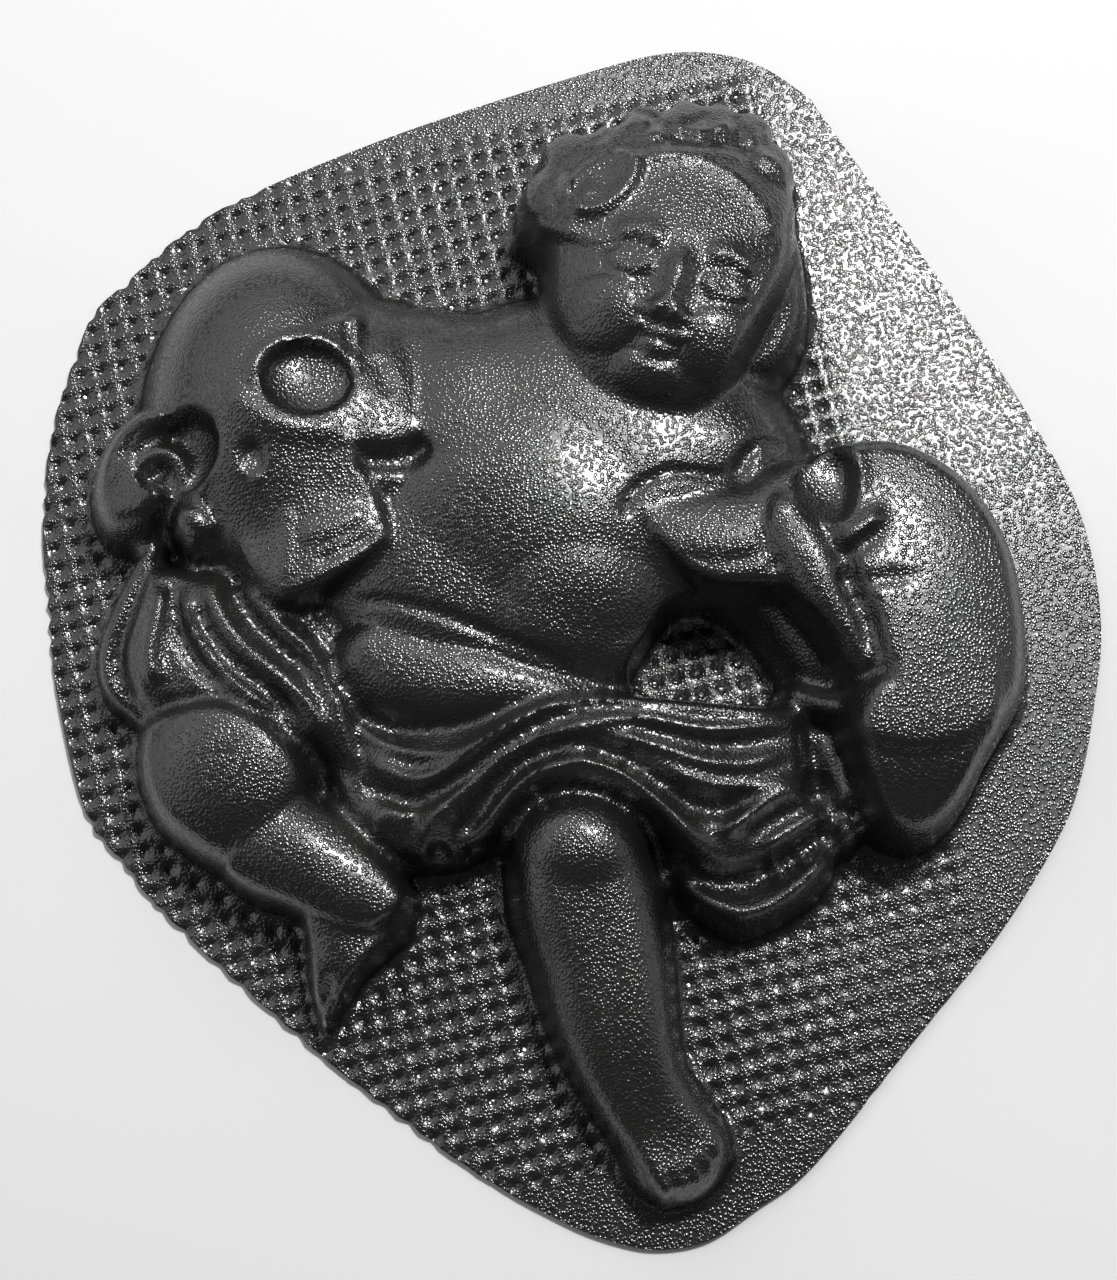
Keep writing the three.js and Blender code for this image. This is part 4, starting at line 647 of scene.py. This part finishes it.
def makeTrimBlock(name, line, low, high):  # upright block on the trimmed outline
    count = len(line)
    points = [(x * millimetre, y * millimetre, z * millimetre) for z in (low, high) for x, y in line]
    faces = [list(range(count))[::-1], list(range(count, 2 * count))]
    faces += [[i, (i + 1) % count, (i + 1) % count + count, i + count] for i in range(count)]
    return showMesh(name, points, faces)

def bakeModifiers(piece):  # the evaluated shape becomes the piece's own plain mesh
    shaped = bpy.data.meshes.new_from_object(piece.evaluated_get(bpy.context.evaluated_depsgraph_get()))
    piece.modifiers.clear()
    old, piece.data = piece.data, shaped
    bpy.data.meshes.remove(old)
    shaped.name = piece.name

def trimSheet(slab, block):
    cut = slab.modifiers.new("trim", "BOOLEAN")
    cut.operation, cut.solver, cut.object = "INTERSECT", "MANIFOLD", block
    bakeModifiers(slab)
    bpy.data.objects.remove(block)


# Node graphs

def operator(operation, swapped=False):  # a method for maths with what stands beside a socket
    def join(value, other):
        return value.maths(operation, *((other, value) if swapped else (value, other)))
    return join

class Value:  # a socket, so that node maths reads as plain maths
    def __init__(self, graph, socket):
        self.graph, self.socket = graph, socket

    def maths(self, operation, *inputs):
        return self.graph.add("ShaderNodeMath", {"operation": operation}, inputs)

    __add__, __sub__, __mul__ = operator("ADD"), operator("SUBTRACT"), operator("MULTIPLY")
    __rsub__, __rmul__ = operator("SUBTRACT", True), operator("MULTIPLY", True)
    __truediv__, __pow__ = operator("DIVIDE"), operator("POWER")

    def cosine(self):
        return self.maths("COSINE", self)

    def limit(self):  # to between 0 and 1
        return self.graph.add("ShaderNodeClamp", {}, (self, 0.0, 1.0))


class Graph:
    def __init__(self, tree):
        self.tree = tree

    def add(self, kind, settings=None, values=(), output=0):  # any node: its settings first, then its sockets
        node = self.tree.nodes.new(kind)
        for name, setting in (settings or {}).items():
            if name == "stops":
                while len(node.color_ramp.elements) < len(setting):
                    node.color_ramp.elements.new(1)
                for stop, (place, shade) in zip(node.color_ramp.elements, setting):
                    stop.position, stop.color = place, (shade, shade, shade, 1)
            else:
                setattr(node, name, setting)
        for key, value in values.items() if isinstance(values, dict) else enumerate(values):
            if isinstance(value, Value):
                self.tree.links.new(value.socket, node.inputs[key])
            else:
                node.inputs[key].default_value = value
        return Value(self, node.outputs[output]) if len(node.outputs) else node

    def weave(self, place, turn, pitch, starts, shape):  # 1 on the wires of the cloth, 0 amid its gaps
        turned = self.add("ShaderNodeVectorRotate", {"rotation_type": "Z_AXIS"},
            {"Vector": place, "Angle": turn})
        across, along = self.tree.nodes.new("ShaderNodeSeparateXYZ"), 1.0
        self.tree.links.new(turned.socket, across.inputs[0])
        for output, start in zip(across.outputs, starts):
            phase = (Value(self, output) - start) * (2 * pi) / pitch
            along = along * ((1.0 - phase.cosine()) * 0.5) ** shape
        return 1.0 - along

    def blend(self, share, first, second):  # mix of two colours
        return self.add("ShaderNodeMix", {"data_type": "RGBA"}, {0: share, 6: first, 7: second}, output=2)


def startGraph(owner):  # empties the nodes of a material or a world
    owner.use_nodes = True
    owner.node_tree.nodes.clear()
    return Graph(owner.node_tree)

def makeImprintTree(name, material):  # presses wires into the underside and lets the top sink between them
    tree = bpy.data.node_groups.new(name, "GeometryNodeTree")
    graph = Graph(tree)
    tree.interface.new_socket("Geometry", in_out="INPUT", socket_type="NodeSocketGeometry")
    for label in ("Pitch", "Turn", "Depth", "Start Across", "Start Along", "Wire Shape"):
        tree.interface.new_socket(label, in_out="INPUT", socket_type="NodeSocketFloat")
    tree.interface.new_socket("Geometry", in_out="OUTPUT", socket_type="NodeSocketGeometry")
    given = tree.nodes.new("NodeGroupInput")

    def take(label):
        return Value(graph, given.outputs[label])

    woven = graph.weave(graph.add("GeometryNodeInputPosition"), take("Turn") * -1.0, take("Pitch"),
                        (take("Start Across"), take("Start Along")), take("Wire Shape"))
    noise = graph.add("ShaderNodeTexNoise", {"noise_dimensions": "3D"},
                      {"Scale": wireCloth["unevenScale"], "Detail": 2.0})
    uneven = noise * wireCloth["unevenShare"] + wireCloth["leastShare"]
    cloth = graph.add("GeometryNodeInputNamedAttribute", {"data_type": "FLOAT"}, {"Name": "cloth"})
    side = graph.add("GeometryNodeInputNamedAttribute", {"data_type": "FLOAT"}, {"Name": "side"})
    lift = (woven - (side + 1.0) * 0.5) * cloth * take("Depth") * uneven
    moved = graph.add("GeometryNodeSetPosition", {}, {
        "Geometry": take("Geometry"), "Offset": graph.add("ShaderNodeCombineXYZ", {}, {"Z": lift})})
    real = graph.add("GeometryNodeRealizeInstances", {}, {"Geometry": moved})
    finished = graph.add("GeometryNodeSetMaterial", {}, {"Geometry": real, "Material": material})
    tree.links.new(finished.socket, tree.nodes.new("NodeGroupOutput").inputs[0])
    return tree

def pressImprint(slab, material, start):
    pressing = slab.modifiers.new("wire cloth", "NODES")
    pressing.node_group = makeImprintTree("wire cloth imprint", material)
    sizes = {
        "Pitch": wireCloth["pitch"] * millimetre, "Turn": radians(wireCloth["turn"]),
        "Depth": wireCloth["depth"] * millimetre, "Start Across": start[0] * millimetre,
        "Start Along": start[1] * millimetre, "Wire Shape": wireCloth["wireShape"],
    }
    for socket in pressing.node_group.interface.items_tree:
        if socket.in_out == "INPUT" and socket.name in sizes:
            pressing[socket.identifier] = sizes[socket.name]
    bakeModifiers(slab)


# Black thermoplastic sheet with a pebbled haircell grain, sizes in mm and scales per metre

blackSheet = {
    "shade": (0.0095, 0.0100, 0.0095), "dust": (0.018, 0.019, 0.017),
    "dustShare": 0.5, "dustFrom": 0.45, "dustTo": 0.75, "patchScale": 26.0,
    "gloss": 1.0, "roughness": 0.17, "roughnessSpread": 0.06, "grooveRoughness": 0.1,
    "grainSize": 1.0, "grainHeight": 0.16, "grainFall": 2.6, "grainLeast": 0.25, "grainUneven": 0.25,
    "grainRandomness": 0.95, "unevenScale": 620.0,
}

def makeBlackSheet(name, starts):
    material = bpy.data.materials.new(name)
    graph = startGraph(material)
    place = graph.add("ShaderNodeTexCoord", output=3)
    cells = graph.add("ShaderNodeTexVoronoi", {"feature": "F1"}, {
        "Vector": place, "Scale": 1 / (blackSheet["grainSize"] * millimetre),
        "Randomness": blackSheet["grainRandomness"]})
    uneven = graph.add("ShaderNodeTexNoise", {}, {
        "Vector": place, "Scale": blackSheet["unevenScale"], "Detail": 1.0, "Roughness": 0.5})
    broad = graph.add("ShaderNodeTexNoise", {}, {
        "Vector": place, "Scale": blackSheet["patchScale"], "Detail": 3.0, "Roughness": 0.55})
    pebbles = (1.0 - cells * cells * blackSheet["grainFall"]).limit()
    height = pebbles * (uneven + blackSheet["grainLeast"]) + uneven * blackSheet["grainUneven"]
    woven = graph.weave(place, -radians(wireCloth["turn"]), wireCloth["pitch"] * millimetre,
                        (starts[0] * millimetre, starts[1] * millimetre), wireCloth["wireShape"])
    cloth = graph.add("ShaderNodeAttribute", {"attribute_name": "cloth"}, output=2)
    height = height + woven * cloth * (wireCloth["fineDepth"] / blackSheet["grainHeight"])
    grain = graph.add("ShaderNodeBump", {}, {
        "Strength": 1.0, "Distance": blackSheet["grainHeight"] * millimetre, "Height": height})
    roughness = (broad - 0.5) * blackSheet["roughnessSpread"] + (
        1.0 - pebbles) * blackSheet["grooveRoughness"] + blackSheet["roughness"]
    stops = [(blackSheet["dustFrom"], 0), (blackSheet["dustTo"], 1)]
    dusty = graph.add("ShaderNodeValToRGB", {"stops": stops}, (broad,))
    colour = graph.blend(dusty * blackSheet["dustShare"], (*blackSheet["shade"], 1), (*blackSheet["dust"], 1))
    surface = graph.add("ShaderNodeBsdfPrincipled", {}, {
        "Base Color": colour, "Roughness": roughness, "Normal": grain,
        "Specular IOR Level": blackSheet["gloss"]})
    graph.add("ShaderNodeOutputMaterial", {}, {"Surface": surface})
    return material

rawOutline = spline(trimOutline, curveSteps["trim"], closed=True)
low, high = rawOutline.min(0), rawOutline.max(0)
middle = (low + high) / 2
cadLow, cadHigh = (np.array(corner[:2]) / millimetre for corner in cadBounds)
scale = (cadHigh - cadLow) / (high - low)

def toPart(x, y):  # from the drawing to the frame of the part
    return (x - middle[0]) * scale[0], (y - middle[1]) * scale[1]

starts = (wireCloth["startAcross"], wireCloth["startAlong"])
partStarts = [start - sum(axis * middle) for start, axis in zip(starts, turnedAxes(wireCloth["turn"]))]
blackSheetMaterial = makeBlackSheet("black_sheet", partStarts)
print("black sheet material made")

spareWidth = 4  # of the untrimmed sheet round the outline, in mm
grid = PlanGrid(low - spareWidth, high + spareWidth, wireCloth["pitch"], wireCloth["cellsPerPitch"],
                wireCloth["turn"], starts)
relief = MouldRelief(grid)
outer = relief.makeOuter()
inner = relief.roll(outer, formHeights["sheetThickness"], -1, 0)
print("relief formed:", outer.shape, "points, highest", round(float(outer.max()), 2), "mm")

mould = makeSlab("mould", grid, outer, inner, makeImprintMask(grid, outer), toPart)
pressImprint(mould, blackSheetMaterial, partStarts)
print("wire cloth pressed in")

trimLine = np.stack(toPart(*makeTrimLine().T), -1)
trimBottom, trimTop = -5, formHeights["headTop"] + 40  # well clear of the sheet, in mm
sharpAngle = 60  # degrees between faces at the edges of the cut
trimSheet(mould, makeTrimBlock("trim block", trimLine, trimBottom, trimTop))
mould.data.shade_smooth()
mould.data.set_sharp_from_angle(angle=radians(sharpAngle))
print("sheet trimmed:", sum(len(face.vertices) - 2 for face in mould.data.polygons), "triangles")

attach(mould, "root")
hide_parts("mould_shell")


# Table, lamps and camera, in metres. Each lamp has its place, size and power

studio = {
    "floorShade": 0.85, "floorRoughness": 0.9, "floorSize": 12.0, "floorLevel": -0.0004, "worldShade": 0.06,
    "lamps": {
        "key": ((0.37, 0.6, 1.45), (0.22, 0.22), 20.0),
        "panel": ((-0.5, 1.0, 0.95), (2.2, 1.4), 9.0),
        "right side": ((1.5, 0.2, 0.8), (1.2, 1.6), 3.0),
        "left side": ((-1.5, -0.1, 0.9), (1.2, 1.6), 4.5),
    },
    "cameraTarget": (-0.0035, -0.0031, 0.0), "cameraElevation": 80.0, "cameraDistance": 0.85,
    "cameraLens": 79.7, "sensorHeight": 36.0,
}

def aimAt(piece, target):
    piece.rotation_euler = (Vector(target) - piece.location).to_track_quat("-Z", "Y").to_euler()

def makeFloor():
    half, level, shade = studio["floorSize"] / 2, studio["floorLevel"], studio["floorShade"]
    corners = [(x * half, y * half, level) for x, y in ((-1, -1), (1, -1), (1, 1), (-1, 1))]
    floor = showMesh("floor", corners, [(0, 1, 2, 3)])
    material = bpy.data.materials.new("pale floor")
    graph = startGraph(material)
    surface = graph.add("ShaderNodeBsdfPrincipled", {}, {
        "Base Color": (shade, shade, shade, 1), "Roughness": studio["floorRoughness"]})
    graph.add("ShaderNodeOutputMaterial", {}, {"Surface": surface})
    floor.data.materials.append(material)

def makeLamp(name, at, size, power):
    lamp = bpy.data.lights.new(name, "AREA")
    lamp.shape, lamp.size, lamp.size_y, lamp.energy = "RECTANGLE", size[0], size[1], power
    holder = show(name, lamp)
    holder.location = at
    aimAt(holder, (0, 0, 0))

def makeWorld():
    world, shade = bpy.data.worlds.new("studio"), studio["worldShade"]
    graph = startGraph(world)
    glow = graph.add("ShaderNodeBackground", {}, {"Color": (shade, shade, shade, 1)})
    graph.add("ShaderNodeOutputWorld", {}, {"Surface": glow})
    bpy.context.scene.world = world

def makeCamera():
    camera = bpy.data.cameras.new("camera")
    camera.sensor_fit, camera.sensor_height = "VERTICAL", studio["sensorHeight"]
    camera.lens = studio["cameraLens"]
    holder, target, tilt = show("camera", camera), studio["cameraTarget"], radians(studio["cameraElevation"])
    holder.location = Vector(target) + studio["cameraDistance"] * Vector((0, -cos(tilt), sin(tilt)))
    aimAt(holder, target)
    bpy.context.scene.camera = holder

makeFloor()
for name, (at, size, power) in studio["lamps"].items():
    makeLamp(name, at, size, power)
makeWorld()
makeCamera()
bpy.context.scene.view_settings.view_transform = "Standard"
print("table, light and camera set")
